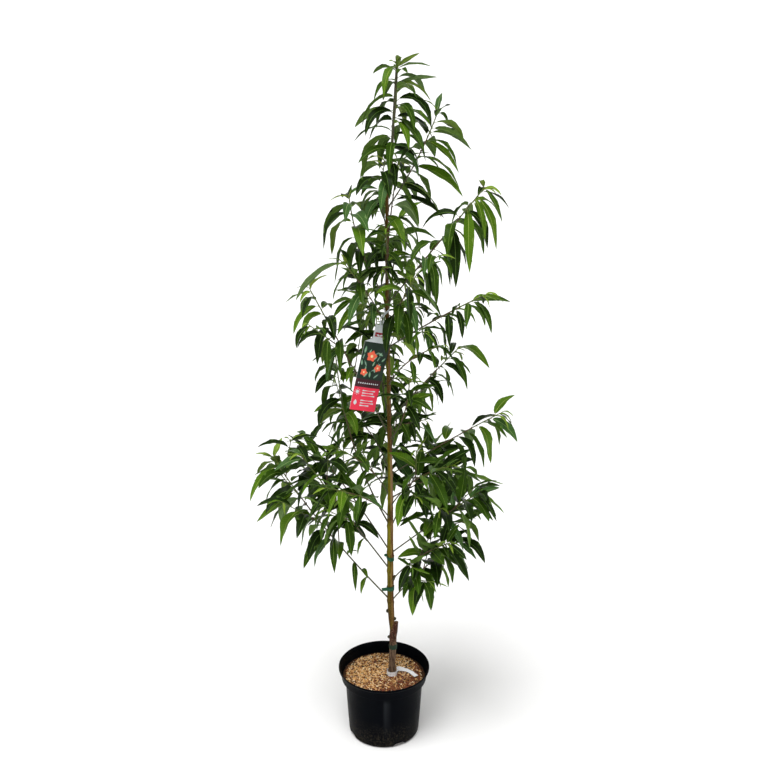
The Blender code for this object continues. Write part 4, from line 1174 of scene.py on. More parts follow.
def scatter_tree():
    """Geometry Nodes that lay bark chips on a surface, more where its open attribute is larger."""
    tree = bpy.data.node_groups.new("bark_chip_scatter", "GeometryNodeTree")
    sockets = (("Surface", "INPUT", "Geometry"), ("Density", "INPUT", "Float"),
               ("Chip Size", "INPUT", "Vector"), ("Seed", "INPUT", "Int"), ("Share", "INPUT", "String"),
               ("Finish", "INPUT", "Material"), ("Chips", "OUTPUT", "Geometry"))
    for name, way, kind in sockets:
        tree.interface.new_socket(name=name, in_out=way, socket_type="NodeSocket" + kind)
    asked = add_node(tree, "NodeGroupInput").outputs
    share = add_node(tree, "GeometryNodeInputNamedAttribute", {"Name": asked["Share"]}, data_type="FLOAT")
    dense = add_node(tree, "ShaderNodeMath", {0: asked["Density"], 1: share}, operation="MULTIPLY")
    spread = add_node(tree, "GeometryNodeDistributePointsOnFaces",
                      {"Mesh": asked["Surface"], "Density": dense, "Seed": asked["Seed"]},
                      distribute_method="RANDOM")
    chip = add_node(tree, "GeometryNodeMeshCube",
                    {"Size": asked["Chip Size"], "Vertices X": 4, "Vertices Y": 3, "Vertices Z": 2})
    # Least and most tilt (radians), and least and most scale.
    spans = ((-0.55, -0.5, 0.0), (0.55, 0.5, 6.283)), ((0.4, 0.5, 0.6), (1.5, 1.4, 1.4))
    tilt, scale = [add_node(tree, "FunctionNodeRandomValue", {0: least, 1: most, "Seed": asked["Seed"]},
                            data_type="FLOAT_VECTOR") for least, most in spans]
    laid = add_node(tree, "GeometryNodeInstanceOnPoints",
                    {"Points": spread, "Instance": chip, "Rotation": tilt, "Scale": scale})
    real = add_node(tree, "GeometryNodeRealizeInstances", {0: laid})
    # Noise tears the chips' edges.
    place = add_node(tree, "GeometryNodeInputPosition")
    rough = add_node(tree, "ShaderNodeTexNoise", {"Vector": place, "Scale": 260.0, "Detail": 1.0}).outputs
    level = add_node(tree, "ShaderNodeVectorMath", {0: rough["Color"], 1: (0.5, 0.5, 0.5)},
                     operation="SUBTRACT")
    push = add_node(tree, "ShaderNodeVectorMath", {0: level, 1: (0.005, 0.005, 0.0035)}, operation="MULTIPLY")
    torn = add_node(tree, "GeometryNodeSetPosition", {"Geometry": real, "Offset": push})
    flat = add_node(tree, "GeometryNodeSetShadeSmooth", {"Geometry": torn, "Shade Smooth": False})
    dressed = add_node(tree, "GeometryNodeSetMaterial", {"Geometry": flat, "Material": asked["Finish"]})
    add_node(tree, "NodeGroupOutput", {"Chips": dressed})
    return tree


class PEACH_OT_mulch(Operator):
    """Compost that fills the pot, with loose bark chips on top"""
    bl_idname = "peach_tree.mulch"
    bl_label = "Mulch"

    def execute(self, context):
        slack = POT_WALL + GAP * 2
        rings = [[Vector((0.0, 0.0, POT_WALL * 2 + GAP))]]
        for radius, height in ((FLAT_RADIUS - 0.0016, POT_WALL * 2 + GAP), (FOOT_RADIUS - slack, 0.0106),
                               (SHOULDER_RADIUS - slack, COLLAR_FOOT + 0.0014)):
            rings.append(around(radius, height, MULCH_SIDES, -1))
        for number in range(MULCH_RINGS, 0, -1):
            ring = around(MULCH_RADIUS * number / MULCH_RINGS, 0.0, MULCH_SIDES, -1)
            rings.append([Vector((point.x, point.y, mulch_height(point.x, point.y))) for point in ring])
        rings.append([Vector((0.0, 0.0, mulch_height(0.0, 0.0)))])
        shape = Shape()
        shape.add(*skin(rings))
        compost = fibrous_material("moist_potting_compost", "5A3A22", "22150D", 0.95, 4.0, 0.0015, 0.2)
        finished("mulch_bed", shape, [compost], "bark_mulch", "soil")
        self.lay_chips(context.scene.peach_mulch)
        return {"FINISHED"}

    def lay_chips(self, settings):
        """Lays each colour of chip with Geometry Nodes over a surface that is removed afterwards."""
        grid = [CHIP_REACH * (2.0 * number / CHIP_GRID - 1.0) for number in range(CHIP_GRID + 1)]
        points = [(x, y, mulch_height(x, y) + 0.0008) for y in grid for x in grid]
        wide = CHIP_GRID + 1
        corners = [row * wide + column for row in range(CHIP_GRID) for column in range(CHIP_GRID)]
        faces = [(i, i + 1, i + wide + 1, i + wide) for i in corners]
        surface = bpy.data.meshes.new("chip_surface")
        surface.from_pydata(points, [], [face for face in faces if all(
            math.hypot(points[i][0], points[i][1]) < CHIP_REACH for i in face)])
        # Reddish chips lie at the front right, golden ones at the back and left, few under the strip.
        red = [min(max((x * 0.7 - y) / 0.085 + 0.05, 0.0), 1.0) for x, y, z in points]
        clear = [0.12 if min((Vector((x, y)) - spot).length for spot in TAG_LINE) < 0.0095 else 1.0
                 for x, y, z in points]
        tree = scatter_tree()
        inputs = {item.name: item.identifier for item in tree.interface.items_tree if item.in_out == "INPUT"}
        for number, chip in enumerate(CHIPS):
            look = fibrous_material("split_pine_bark_" + chip.name, chip.light, chip.dark, 0.85, 2.6, 0.0005,
                                    0.3)
            chips = bpy.data.objects.new("mulch_chips_" + chip.name, surface.copy())
            bpy.context.scene.collection.objects.link(chips)
            share = [(chip.here + chip.more * r) * c for r, c in zip(red, clear)]
            chips.data.attributes.new("open", "FLOAT", "POINT").data.foreach_set("value", share)
            scatter = chips.modifiers.new("scatter", "NODES")
            scatter.node_group = tree
            for key, value in (("Density", settings.density * chip.share), ("Share", "open"),
                               ("Chip Size", [settings.length * part for part in chip.size]),
                               ("Seed", settings.seed + number), ("Finish", look)):
                scatter[inputs[key]] = value
            settled(applied(chips), "bark_mulch")
        bpy.data.meshes.remove(surface)


def ring_at(centre, radius_at, height, sides):
    """A level ring, clockwise as seen from above, whose radius depends on the angle."""
    row = []
    for corner in range(sides):
        angle = -2.0 * math.pi * corner / sides
        radius = radius_at(angle)
        row.append(Vector((centre.x + math.cos(angle) * radius, centre.y + math.sin(angle) * radius, height)))
    return row


def sunny(angle):
    """How far a side of the stem faces the sun, at the right and a little to the back."""
    return 0.5 + 0.5 * math.cos(angle - 0.25)


def bark_radius(height, angle, settings):
    """Radius of the stem with its flare, grooves and swellings."""
    radius = stem_value(height, "radius")
    if height < 0.186:
        share = min((0.186 - height) / 0.013, 1.0)
        radius += (FLARE_RADIUS - radius) * share ** 1.6 * (1.0 + 0.12 * math.cos(3.0 * angle + 1.0))
    x, y = math.cos(angle) * radius, math.sin(angle) * radius
    rough = 1.0 if height < 0.3 else max(1.0 - (height - 0.3) / 0.05, 0.28)
    grooves = noise.noise(Vector((x * 420.0, y * 420.0, height * 45.0)))
    lumps = noise.noise(Vector((x * 70.0, y * 70.0, height * 55.0 + 20.0)))
    radius += settings.relief * rough * grooves + 0.0005 * rough * lumps
    for shoot in SHOOTS:
        rise = height - shoot.height + 0.001
        if shoot.length and abs(rise) < 0.02:
            off = math.remainder(angle - math.radians(shoot.heading), 2.0 * math.pi)
            radius += 0.0016 * math.exp(-(rise / 0.006) ** 2 - (off / 0.75) ** 2)
    return radius


class PEACH_OT_trunk(Operator):
    """Stem with bark relief, the graft with its cut stub, and old pruning knobs"""
    bl_idname = "peach_tree.trunk"
    bl_label = "Stem"

    def execute(self, context):
        settings = context.scene.peach_bark
        shape = Shape()
        sides = STEM_SIDES
        rings = []
        spots = []
        looks = []
        foot = TRUNK_FOOT - 0.003
        for number in range(STEM_RINGS + 1):
            height = foot + (TRUNK_TIP - foot) * number / STEM_RINGS
            centre = stem_point(max(height, STEM[0].height))
            rings.append(ring_at(centre, lambda angle: bark_radius(height, angle, settings), height, sides))
            spots.extend((sunny(-2.0 * math.pi * i / sides), height) for i in range(sides))
            if number < STEM_RINGS:
                for i in range(sides):
                    ragged = 0.012 * math.cos(2.0 * math.pi * i / sides) + 0.008 * math.sin(i * 2.3)
                    looks.append(1 if height < GRAFT_HEIGHT + ragged else 0)
        points, faces = skin(rings)
        shape.add(points, faces, looks + [1, 0], spots)
        self.limb(shape, STUB, 1, 2)
        self.limb(shape, SPUR, 0, 2)
        for centre, radius, tall in KNOBS:
            rings = []
            for tilt in [math.radians(-80.0 + 20.0 * i) for i in range(9)]:
                wide, rise = radius * math.cos(tilt), math.sin(tilt) * radius * tall
                rings.append(ring_at(centre, lambda a: wide * (1.0 + 0.10 * math.sin(3.0 * a + tilt * 4.0)),
                                     centre.z + rise, KNOB_SIDES))
            points, faces = skin(rings)
            shape.add(points, faces, 3, self.sun_spots(len(points), KNOB_SIDES))
        looks = [scion_bark_material(settings), rootstock_bark_material(settings),
                 fibrous_material("weathered_cut_wood", "8A6A4C", "3C2820", 0.9, 1.6, 0.0004, 0.1),
                 fibrous_material("healed_dark_knob", "4A4A36", "231C16", 0.8, 1.8, 0.0006, 0.1)]
        finished("trunk_bark", shape, looks, "stem_bark", "trunk", sharp=70.0)
        return {"FINISHED"}

    def sun_spots(self, count, sides):
        """UV spots of a small part: how sunny each side is, at a height where the bark is brown."""
        return [(sunny(-2.0 * math.pi * (i % sides) / sides), 0.3) for i in range(count)]

    def limb(self, shape, stations, look, cut):
        """A short thick limb that ends in a pale sawn face."""
        spots = curved([point for point, radius in stations], LIMB_RINGS)
        rings = []
        for number, centre in enumerate(spots):
            share = number / (LIMB_RINGS - 1) * (len(stations) - 1)
            low = min(int(share), len(stations) - 2)
            before, after = stations[low][1], stations[low + 1][1]
            radius = before + (after - before) * (share - low)
            rings.append(ring_at(centre, lambda a: radius * (1.0 + 0.06 * noise.noise(
                Vector((math.cos(a) * 2.2, math.sin(a) * 2.2, centre.z * 90.0)))), centre.z, LIMB_SIDES))
        rings.append([point + Vector((0.0, 0.0, 0.0006)) - (point - spots[-1]) * 0.22 for point in rings[-1]])
        points, faces = skin(rings)
        looks = [look] * (LIMB_SIDES * (len(rings) - 2)) + [cut] * LIMB_SIDES + [look, cut]
        shape.add(points, faces, looks, self.sun_spots(len(points), LIMB_SIDES))


def tube_rings(spots, radii, sides):
    """Rings square to a path that has a point and a radius at each step."""
    rings = []
    side = None
    angles = [2.0 * math.pi * number / sides for number in range(sides)]
    for number, point in enumerate(spots):
        ahead = (spots[min(number + 1, len(spots) - 1)] - spots[max(number - 1, 0)]).normalized()
        if side is None:
            side, top = across(ahead)
        else:
            side = (side - ahead * side.dot(ahead)).normalized()
            top = side.cross(ahead)
        rings.append([point + (side * math.cos(angle) + top * math.sin(angle)) * radii[number]
                      for angle in angles])
    return rings


class PEACH_OT_shoots(Operator):
    """Boughs, twigs, side twigs and buds, in bark that turns from brown to green"""
    bl_idname = "peach_tree.shoots"
    bl_label = "Boughs and twigs"

    def execute(self, context):
        shape = Shape()
        for plan in crown_plan():
            shoot = plan.shoot
            side_shoot = shoot.length > 0.0
            rng = random.Random(shoot.seed + 9000)
            first = 0.0 if side_shoot else (TRUNK_TIP - 0.006 - shoot.height) / (SHOOT_TIP - shoot.height)
            places = [first + (0.9999 - first) * i / TWIG_RINGS for i in range(TWIG_RINGS + 1)]
            nodes = [leaf_place(shoot, (number + 0.5) / shoot.leaves) for number in range(shoot.leaves)]
            radii = []
            for place in places:
                swell = 0.22 * math.exp(-(min(abs(place - node) for node in nodes) / 0.008) ** 2)
                collar = 0.9 * math.exp(-(place * shoot.length / 0.009) ** 2) if side_shoot else 0.0
                taper = 1.0 if place < 0.96 else 1.0 - (place - 0.96) / 0.04 * 0.45
                slim = 0.72 + 0.10 * place if side_shoot else 0.78
                radii.append(twig_radius(shoot, place) * slim * (1.0 + swell + collar) * taper)
            rings = tube_rings([on_path(plan.points, place)[0] for place in places], radii, TWIG_SIDES)
            points, faces = skin(rings)
            looks = []
            for place in places[:-1]:
                age = place if side_shoot else 0.35 + 0.65 * place
                looks += [0 if age < 0.38 else 1 if age < 0.74 else 2] * TWIG_SIDES
            shape.add(points, faces, looks + [0, 2])
            for low, high in plan.forks:
                spots = [low.lerp(high, i / 10) for i in range(11)]
                points, faces = skin(tube_rings(spots, [0.0017 - 0.00006 * i for i in range(11)], 6))
                shape.add(points, faces, [1] * 24 + [2] * 36 + [1, 2])
            for leaf, turn in plan.leaves:
                if leaf.root > 0.0012:
                    self.bud(shape, leaf, turn, rng)
        looks = [fibrous_material("grey_green_year_old_bark", "5C5C40", "33301F", 0.55, 2.4, 0.0003),
                 fibrous_material("reddish_summer_bark", "6B5236", "3E3A20", 0.45, 2.0, 0.0002),
                 fibrous_material("green_shoot_rind", "66702E", "45581F", 0.4, 2.0, 0.0001)]
        masses = [name for name in NODES if name.startswith(("bough_", "foliage_"))]
        finished("boughs_and_twigs", shape, looks, "bough_bark", *masses)
        return {"FINISHED"}

    def bud(self, shape, leaf, turn, rng):
        """A pointed bud in the angle between a leaf's stalk and its twig."""
        point, ahead, side, face = leaf_frames(leaf, [0.0], turn)[0]
        aim = (leaf.ahead * 1.6 + ahead).normalized()
        length = rng.uniform(0.0026, 0.0042)
        out = (ahead - leaf.ahead * ahead.dot(leaf.ahead)).normalized()
        start = leaf.base + out * leaf.root * 0.7 + leaf.ahead * 0.0012
        level, top = across(aim)
        rings = []
        for share, radius in ((0.0, 0.0007), (0.35, 0.0011), (0.7, 0.0007)):
            rings.append([start + aim * length * share + (level * math.cos(a) + top * math.sin(a)) * radius
                          for a in (0.0, 1.257, 2.513, 3.770, 5.027)])
        rings.append([start + aim * length])
        points, faces = skin(rings)
        shape.add(points, faces, 1)


class PEACH_OT_leaves(Operator):
    """Folded, arching leaves in five greens, each green dealt out leaf by leaf along the shoots; one green is
    a painted reflection of the sky and the deep green is partly painted shade
    """
    bl_idname = "peach_tree.leaves"
    bl_label = "Leaves"

    def execute(self, context):
        settings = context.scene.peach_leaf
        shapes = [Shape() for tone in TONES]
        fresh, young = [[tone.name for tone in TONES].index(name) for name in ("fresh", "young")]
        for plan in crown_plan():
            shoot = plan.shoot
            rng = random.Random(shoot.seed + 7000)
            weights = [tone.above if shoot.height > UPPER_CROWN else tone.below for tone in TONES]
            for leaf, turn in plan.leaves:
                chosen = rng.choices(range(len(TONES)), weights)[0]
                if leaf.size < min(0.62 * shoot.blade, 0.075) and rng.random() < 0.75:
                    chosen = young if rng.random() < 0.5 else fresh
                shapes[chosen].add(*leaf_skin(leaf, turn, rng, settings))
        masses = [name for name in NODES if name.startswith("foliage_")]
        for tone, shape in zip(TONES, shapes):
            looks = [leaf_top_material("waxy_peach_leaf_" + tone.name, list(getattr(settings, tone.name))),
                     leaf_under_material("matt_leaf_underside_" + tone.name, tone.under),
                     leaf_under_material("leaf_midrib_" + tone.name, tone.rib)]
            finished("leaves_" + tone.name, shape, looks, "foliage", *masses)
        return {"FINISHED"}


def strap_rings(stations, thick):
    """Four-cornered rings of a flat strap; a station is a point and half the strap's width as a vector."""
    rings = []
    for number, (point, half) in enumerate(stations):
        before = stations[max(number - 1, 0)][0]
        after = stations[min(number + 1, len(stations) - 1)][0]
        face = (after - before).cross(half).normalized() * (thick / 2)
        rings.append([point - half + face, point + half + face, point + half - face, point - half - face])
    return rings


def wound(height, tall, start, turns, slack, wander=0.0):
    """Stations of a tape wound clockwise round the stem, each turn a little wider than the one below."""
    stations = []
    count = int(36 * abs(turns))
    for number in range(count + 1):
        share = number / count
        angle = math.radians(start) - 2.0 * math.pi * turns * share
        level = height + wander * math.sin(2.0 * math.pi * turns * share + 0.6)
        centre = stem_point(level)
        reach = stem_value(level, "radius") + slack + 0.0006 * abs(turns) * share
        reach += 0.00018 * math.sin(angle * 7.0)
        spot = centre + Vector((math.cos(angle), math.sin(angle), 0.0)) * reach
        lean = 0.0008 * math.sin(angle * 2.0)
        stations.append((spot, Vector((math.cos(angle) * lean, math.sin(angle) * lean, tall / 2))))
    return stations


def knot_skin(centre, radius):
    """A small crumpled knot."""
    rings = []
    for step in range(9):
        tilt = math.radians(-78.0 + 19.5 * step)
        rise = math.sin(tilt) * radius * 0.9
        rings.append(ring_at(centre, lambda a: radius * math.cos(tilt) * (1.0 + 0.2 * noise.noise(
            Vector((math.cos(a) * 2.5, math.sin(a) * 2.5, tilt * 2.5)))), centre.z + rise, 18))
    return skin(rings)


class PEACH_OT_ties(Operator):
    """Two green plastic ties and the dark tape round the foot of the graft"""
    bl_idname = "peach_tree.ties"
    bl_label = "Ties"

    def execute(self, context):
        green = film_material("creased_polythene_tie", "17472F", "2F7048", 0.38, 5.0, 0.15)
        dark = film_material("weathered_grafting_tape", "22382A", "4C4236", 0.55, 4.0, 0.12)
        lower = Shape()
        stations = wound(0.4385, 0.0116, 250.0 + 520.0, 520.0 / 360.0, 0.0009, 0.0006)
        out = stem_point(0.44).x
        tail = [stations[-1][0]] + [Vector((out - x, y, z)) for x, y, z in (
            (0.0085, -0.0088, 0.4390), (0.0150, -0.0120, 0.4400), (0.0195, -0.0146, 0.4414),
            (0.0232, -0.0166, 0.4425))]
        for number, point in enumerate(curved(tail, 14)[1:]):
            half = Vector((0.0006 * math.sin(number * 0.9), 0.0, 0.0056 - 0.00012 * number))
            stations.append((point, half))
        lower.add(*skin(strap_rings(stations, TIE_THICK)))
        upper = Shape()
        upper.add(*skin(strap_rings(wound(0.5300, 0.0100, 180.0, 1.6, 0.0009, 0.0040), TIE_THICK)))
        knot = Vector((stem_point(0.53).x - 0.0122, -0.0030, 0.5372))
        upper.add(*knot_skin(knot, 0.0044))
        away, half = Vector((-0.0006, -0.0004, 0.0007)), Vector((0.0, 0.0012, 0.0016))
        upper.add(*skin(strap_rings([(knot + away * i, half) for i in range(5)], TIE_THICK)))
        tape = Shape()
        tape.add(*skin(strap_rings(wound(0.2602, 0.0136, 40.0, 1.2, 0.0008, 0.0004), TAPE_THICK)))
        for name, shape, look, slot, node in (("tie_film_lower", lower, green, "tie_film", "tie_lower"),
                                              ("tie_film_upper", upper, green, "tie_film", "tie_upper"),
                                              ("graft_film_band", tape, dark, "graft_film", "graft_tape")):
            finished(name, shape, [look], slot, node, sharp=35.0)
        return {"FINISHED"}


def on_label(x, y, z):
    """A point of the label's bowed sheet, from its own right, upward and forward sizes."""
    bow = 0.0018 * (1.0 - (x / 0.036) ** 2) * min(max(-y / 0.05, 0.0), 1.0)
    curl = 0.0030 * max((-y - 0.12) / 0.099, 0.0) ** 2
    return LABEL_HEAD + (LABEL_STAND @ Vector((x, y, z + bow + curl - 0.0009)))


def label_half(y):
    """Half width of the label at a height below its head."""
    if y > -0.035:
        return 0.017 - max(0.0, (y + 0.002) / 0.002) * 0.0012
    if y > -0.045:
        return 0.017 + (-0.035 - y) / 0.010 * 0.019
    return 0.036 - max(0.0, (-y - LABEL_LENGTH + 0.002) / 0.002) * 0.0012


def flat_motif(shape, outline, look, rise=0.00012):
    """A thin printed shape on the label's front, from its outline in label sizes, anticlockwise."""
    front = LABEL_THICK / 2
    middle = (sum(x for x, y in outline) / len(outline), sum(y for x, y in outline) / len(outline))
    count = len(outline)
    points = [on_label(x, y, front - 0.0001) for x, y in outline]
    points += [on_label(x, y, front + rise) for x, y in outline]
    points.append(on_label(*middle, front + rise))
    faces = [tuple(reversed(range(count)))]
    for i in range(count):
        j = (i + 1) % count
        faces.append((i, j, count + j, count + i))
        faces.append((count + i, count + j, 2 * count))
    shape.add(points, faces, look)


def petal(centre, angle, length, width, count=14):
    """Outline of a pointed oval that grows out of a centre."""
    shares = [i / count for i in range(count + 1)]
    half = [(length * share, width * 0.5 * math.sin(math.pi * share ** 0.8)) for share in shares]
    ring = [(x, -y) for x, y in half] + [(x, y) for x, y in reversed(half[1:-1])]
    c, s = math.cos(math.radians(angle)), math.sin(math.radians(angle))
    return [(centre[0] + x * c - y * s, centre[1] + x * s + y * c) for x, y in ring]


def from_centre(centre, angle, reach):
    """A spot at an angle in degrees and a reach from a centre, in label sizes."""
    way = math.radians(angle)
    return centre[0] + reach * math.cos(way), centre[1] + reach * math.sin(way)


def disc(centre, radius, count=28):
    """Outline of a round spot."""
    return [from_centre(centre, 360.0 * i / count, radius) for i in range(count)]


def bar(x, y, width, tall):
    """Outline of a bar from its lower left corner."""
    return [(x, y), (x + width, y), (x + width, y + tall), (x, y + tall)]


# Printed colours of the label, in the order of its looks. The first four are the parts of its front.
PRINTS = (
    ("coated_card_pale_grey", "C9CFD2"), ("printed_card_dark_green", "10281B"),
    ("printed_card_dark_plum", "3A141C"), ("printed_card_red", "E2304A"), ("uncoated_card_back", "D8D8D2"),
    ("printed_card_dark_red", "8E1C2C"), ("printed_card_leaf_green", "5F8F6A"),
    ("printed_card_orange", "F0684A"), ("printed_card_cream", "F3D9A0"), ("printed_card_deep_leaf", "2F5A44"),
    ("printed_card_pale_vein", "B9CFC0"),
)
GREY = 0
BACK, DARK_RED, LEAF_GREEN, ORANGE, CREAM, DEEP_LEAF, PALE_VEIN = range(4, len(PRINTS))


def label_strap():
    """Stations of the strap that runs from the label's head round the stem and back."""
    stem = stem_point(STRAP_HEIGHT)
    reach = stem_value(STRAP_HEIGHT, "radius") + 0.0016
    loop = []
    for step in range(25):
        angle = math.radians(-160.0 - 220.0 + 220.0 / 24 * step)
        loop.append(stem + Vector((math.cos(angle), math.sin(angle), 0.0)) * reach)
    slope = math.tan(LABEL_YAW)
    low, mid, high = [[LABEL_HEAD + Vector((x, x * slope + back, rise)) for x in (-0.0034, 0.0034)]
                      for back, rise in ((0.0004, -0.0090), (0.0012, 0.0060), (0.0060, 0.0170))]
    path = [low[0], mid[0]] + curved([high[0], loop[0]], 5)[:-1] + loop
    path += curved([loop[-1], high[1]], 5)[1:] + [mid[1], low[1]]
    smooth = curved(path, STRAP_STEPS)
    stations = []
    for number, point in enumerate(smooth):
        ahead = (smooth[min(number + 1, STRAP_STEPS - 1)] - smooth[max(number - 1, 0)]).normalized()
        level = Vector((0.0, 0.0, 1.0)) - ahead * ahead.z
        half = level.normalized() if level.length > 0.35 else Vector((1.0, 0.0, 0.0))
        stations.append((point, half * 0.0024))
    return stations


class PEACH_OT_label(Operator):
    """Hanging label with a plain blossom and leaf design of its own"""
    bl_idname = "peach_tree.label"
    bl_label = "Label"

    def execute(self, context):
        shape = Shape()
        self.add_card(shape)
        self.print_head(shape)
        self.print_picture(shape)
        self.print_foot(shape)
        shape.add(*skin(strap_rings(label_strap(), 0.0007)), GREY)
        looks = [print_material(name, code) for name, code in PRINTS]
        finished("hanging_label", shape, looks, "label_card", "hang_label", sharp=30.0)
        return {"FINISHED"}

    def add_card(self, shape):
        """The bowed card: a printed front in four parts, a plain back and its edges."""
        steps = {0.0, -0.002, -0.035, -LABEL_LENGTH + 0.002, -LABEL_LENGTH} | set(LABEL_PARTS)
        heights = sorted(steps | {-0.004 * i for i in range(1, 55)}, reverse=True)
        rows = [[(label_half(y) * (2.0 * i / LABEL_COLUMNS - 1.0), y) for i in range(LABEL_COLUMNS + 1)]
                for y in heights]
        points = [on_label(x, y, face * LABEL_THICK / 2) for face in (1, -1) for row in rows for x, y in row]
        wide = LABEL_COLUMNS + 1
        back = len(points) // 2
        faces = []
        looks = []
        for number, (upper, lower) in enumerate(zip(heights, heights[1:])):
            part = sum((upper + lower) / 2 < limit for limit in LABEL_PARTS)
            for a in range(number * wide, number * wide + LABEL_COLUMNS):
                faces.append((a, a + wide, a + wide + 1, a + 1))
                faces.append((back + a, back + a + 1, back + a + wide + 1, back + a + wide))
                looks += [part, BACK]
        last = (len(heights) - 1) * wide
        for i in range(LABEL_COLUMNS):
            faces.append((i + 1, back + i + 1, back + i, i))
            faces.append((last + i, back + last + i, back + last + i + 1, last + i + 1))
        for a in range(0, last, wide):
            b = a + LABEL_COLUMNS
            faces.append((a, back + a, back + a + wide, a + wide))
            faces.append((b + wide, back + b + wide, back + b, b))
        shape.add(points, faces, looks + [BACK] * (len(faces) - len(looks)))

    def print_head(self, shape):
        """A plain dark red bar with a pale leaf pair."""
        flat_motif(shape, bar(-0.013, -0.030, 0.026, 0.011), DARK_RED)
        for angle in (20.0, 160.0):
            flat_motif(shape, petal((0.0, -0.0275), angle, 0.0095, 0.0042), GREY, 0.0002)

    def print_picture(self, shape):
        """Sprigs of narrow leaves with pale veins, and five-petalled blossoms."""
        rng = random.Random(12)
        for row in range(6):
            for column in range(5):
                x = -0.029 + 0.0135 * column + rng.uniform(-0.002, 0.002)
                y = -0.134 + 0.0145 * row + rng.uniform(-0.002, 0.002)
                angle = rng.uniform(20.0, 160.0)
                length = rng.uniform(0.012, 0.019)
                ends = ((x, y), from_centre((x, y), angle, length))
                if all(abs(x) < 0.033 and -0.136 < y < -0.049 for x, y in ends):
                    tone = LEAF_GREEN if (row + column) % 3 else DEEP_LEAF
                    flat_motif(shape, petal((x, y), angle, length, length * 0.34), tone)
                    flat_motif(shape, petal((x, y), angle, length * 0.9, 0.0010, 6), PALE_VEIN, 0.0002)
        for x, y, size, turn in ((-0.008, -0.080, 0.0150, 10.0), (0.016, -0.108, 0.0105, 40.0),
                                 (-0.020, -0.122, 0.0100, 70.0)):
            for number in range(5):
                flat_motif(shape, petal((x, y), turn + 72.0 * number, size, size * 0.86), ORANGE, 0.0003)
            flat_motif(shape, disc((x, y), size * 0.24), CREAM, 0.0004)

    def print_foot(self, shape):
        """A row of dots on the dark band; a sun, a drop and two groups of rules on the red foot."""
        for number in range(10):
            flat_motif(shape, disc((-0.027 + 0.006 * number, -0.1495), 0.0018, 12), GREY)
        sun = (-0.025, -0.1725)
        flat_motif(shape, disc(sun, 0.0042), GREY)
        for angle in range(0, 360, 45):
            flat_motif(shape, petal(from_centre(sun, angle, 0.0054), angle, 0.0032, 0.0015, 6), GREY)
        flat_motif(shape, petal((-0.025, -0.2060), 90.0, 0.0140, 0.0084), GREY)
        for number, width in enumerate((0.036, 0.032, 0.037, 0.035, 0.038, 0.026)):
            foot = -0.1695 - 0.0064 * number - 0.0060 * (number // 3)
            flat_motif(shape, bar(-0.0115, foot, width, 0.0032), GREY)


# Middle line of the white strip's tail on the mulch: x, y and its tilt in degrees.
TAG_TAIL = ((0.0365, 0.0125, 75.0), (0.0420, 0.0175, 50.0), (0.0500, 0.0190, 22.0), (0.0600, 0.0175, 4.0),
            (0.0700, 0.0120, 0.0), (0.0800, 0.0010, 0.0), (0.0890, -0.0130, 0.0))
# Spots under the tail where few chips lie.
TAG_LINE = [Vector((x, y)) for x, y, tilt in TAG_TAIL]
TAG_LINE += [Vector(spot) for spot in ((0.055, 0.0185), (0.065, 0.015), (0.075, 0.0065), (0.0845, -0.006))]
TAG_HALF = 0.0064
TAG_STEPS = 43


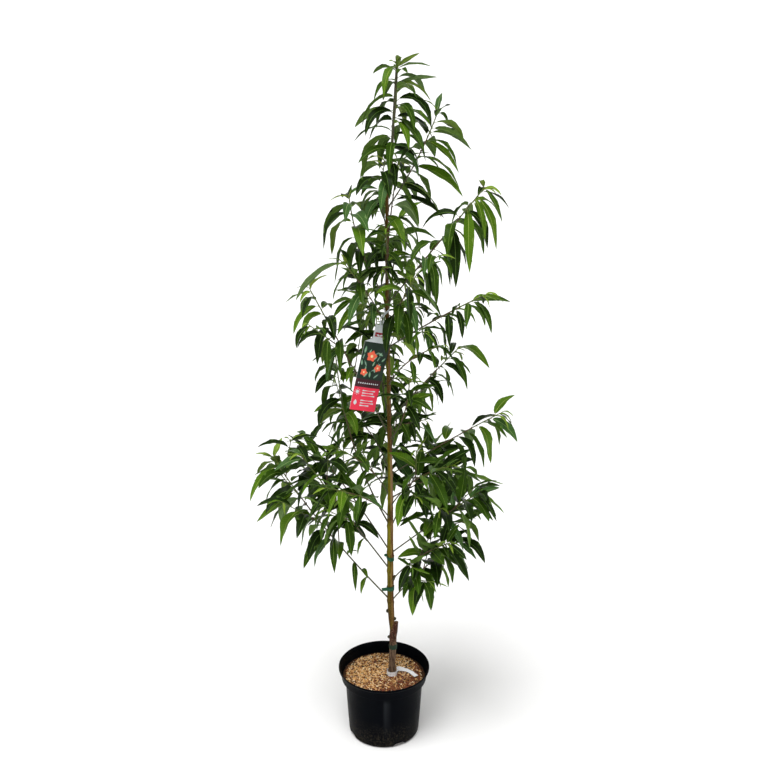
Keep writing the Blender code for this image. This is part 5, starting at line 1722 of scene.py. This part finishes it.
class PEACH_OT_base_tag(Operator):
    """White strip round the foot of the stem, with a tail that lies on the mulch"""
    bl_idname = "peach_tree.base_tag"
    bl_label = "White strip"

    def execute(self, context):
        foot = Vector((stem_point(0.18).x, 0.0, 0.0))
        low = SOIL_TOP + GAP
        stations = []
        for step in range(37):
            angle = math.radians(60.0 + 300.0 * step / 36)
            reach = FLARE_RADIUS + 0.0012 + 0.0004 * math.sin(angle * 5.0)
            spot = foot + Vector((math.cos(angle) * reach, math.sin(angle) * reach, low + TAG_HALF))
            stations.append((spot, Vector((0.0, 0.0, TAG_HALF))))
        last = TAG_STEPS - 1
        tail = [Vector((x, y, 0.0)) for x, y, tilt in TAG_TAIL]
        line = curved([stations[-1][0].xy.to_3d()] + tail, TAG_STEPS)
        tilts = [90.0] + [tilt for x, y, tilt in TAG_TAIL]
        for number, point in enumerate(line[1:], 1):
            share = number / last * (len(tilts) - 1)
            spot = min(int(share), len(tilts) - 2)
            lean = math.radians(tilts[spot] + (tilts[spot + 1] - tilts[spot]) * (share - spot))
            ahead = (line[min(number + 1, last)] - line[number - 1]).normalized()
            out = Vector((-ahead.y, ahead.x, 0.0)) * math.cos(lean)
            half = (out + Vector((0.0, 0.0, math.sin(lean)))) * TAG_HALF
            lift = 0.0007 * math.sin(number * 0.42) ** 2 if number > 8 else 0.0
            stations.append((Vector((point.x, point.y, low + 0.0005 + abs(half.z) + lift)), half))
        shape = Shape()
        shape.add(*skin(strap_rings(stations, TIE_THICK)))
        white = film_material("white_polythene_strip", "FAFAFC", "C4C9D2", 0.4, 3.0, 0.4)
        finished("white_strip", shape, [white], "tag_film", "base_tag", sharp=35.0)
        return {"FINISHED"}


PIECES = (PEACH_OT_stage, PEACH_OT_pot, PEACH_OT_mulch, PEACH_OT_trunk, PEACH_OT_shoots, PEACH_OT_leaves,
          PEACH_OT_ties, PEACH_OT_label, PEACH_OT_base_tag)
GROUPS = (("peach_pot", PotSettings), ("peach_mulch", MulchSettings), ("peach_bark", BarkSettings),
          ("peach_leaf", LeafSettings), ("peach_stage", StageSettings))


class PEACH_PT_panel(Panel):
    """The pieces of the tree and their sizes and colours"""
    bl_idname = "PEACH_PT_panel"
    bl_label = "Peach Tree"
    bl_space_type = "VIEW_3D"
    bl_region_type = "UI"
    bl_category = "Peach Tree"

    def draw(self, context):
        layout = self.layout
        for piece in PIECES:
            layout.operator(piece.bl_idname)
        for name, group in GROUPS:
            box = layout.box()
            box.label(text=name[len("peach_"):].capitalize())
            for field in group.__annotations__:
                box.prop(getattr(context.scene, name), field)


def register():
    for name, group in GROUPS:
        bpy.utils.register_class(group)
        setattr(bpy.types.Scene, name, PointerProperty(type=group))
    for piece in PIECES + (PEACH_PT_panel,):
        bpy.utils.register_class(piece)


def unregister():
    for piece in PIECES + (PEACH_PT_panel,):
        bpy.utils.unregister_class(piece)
    for name, group in GROUPS:
        delattr(bpy.types.Scene, name)
        bpy.utils.unregister_class(group)


def main():
    register()
    for piece in PIECES:
        group, name = piece.bl_idname.split(".")
        getattr(getattr(bpy.ops, group), name)()


if __name__ == "__main__":
    main()
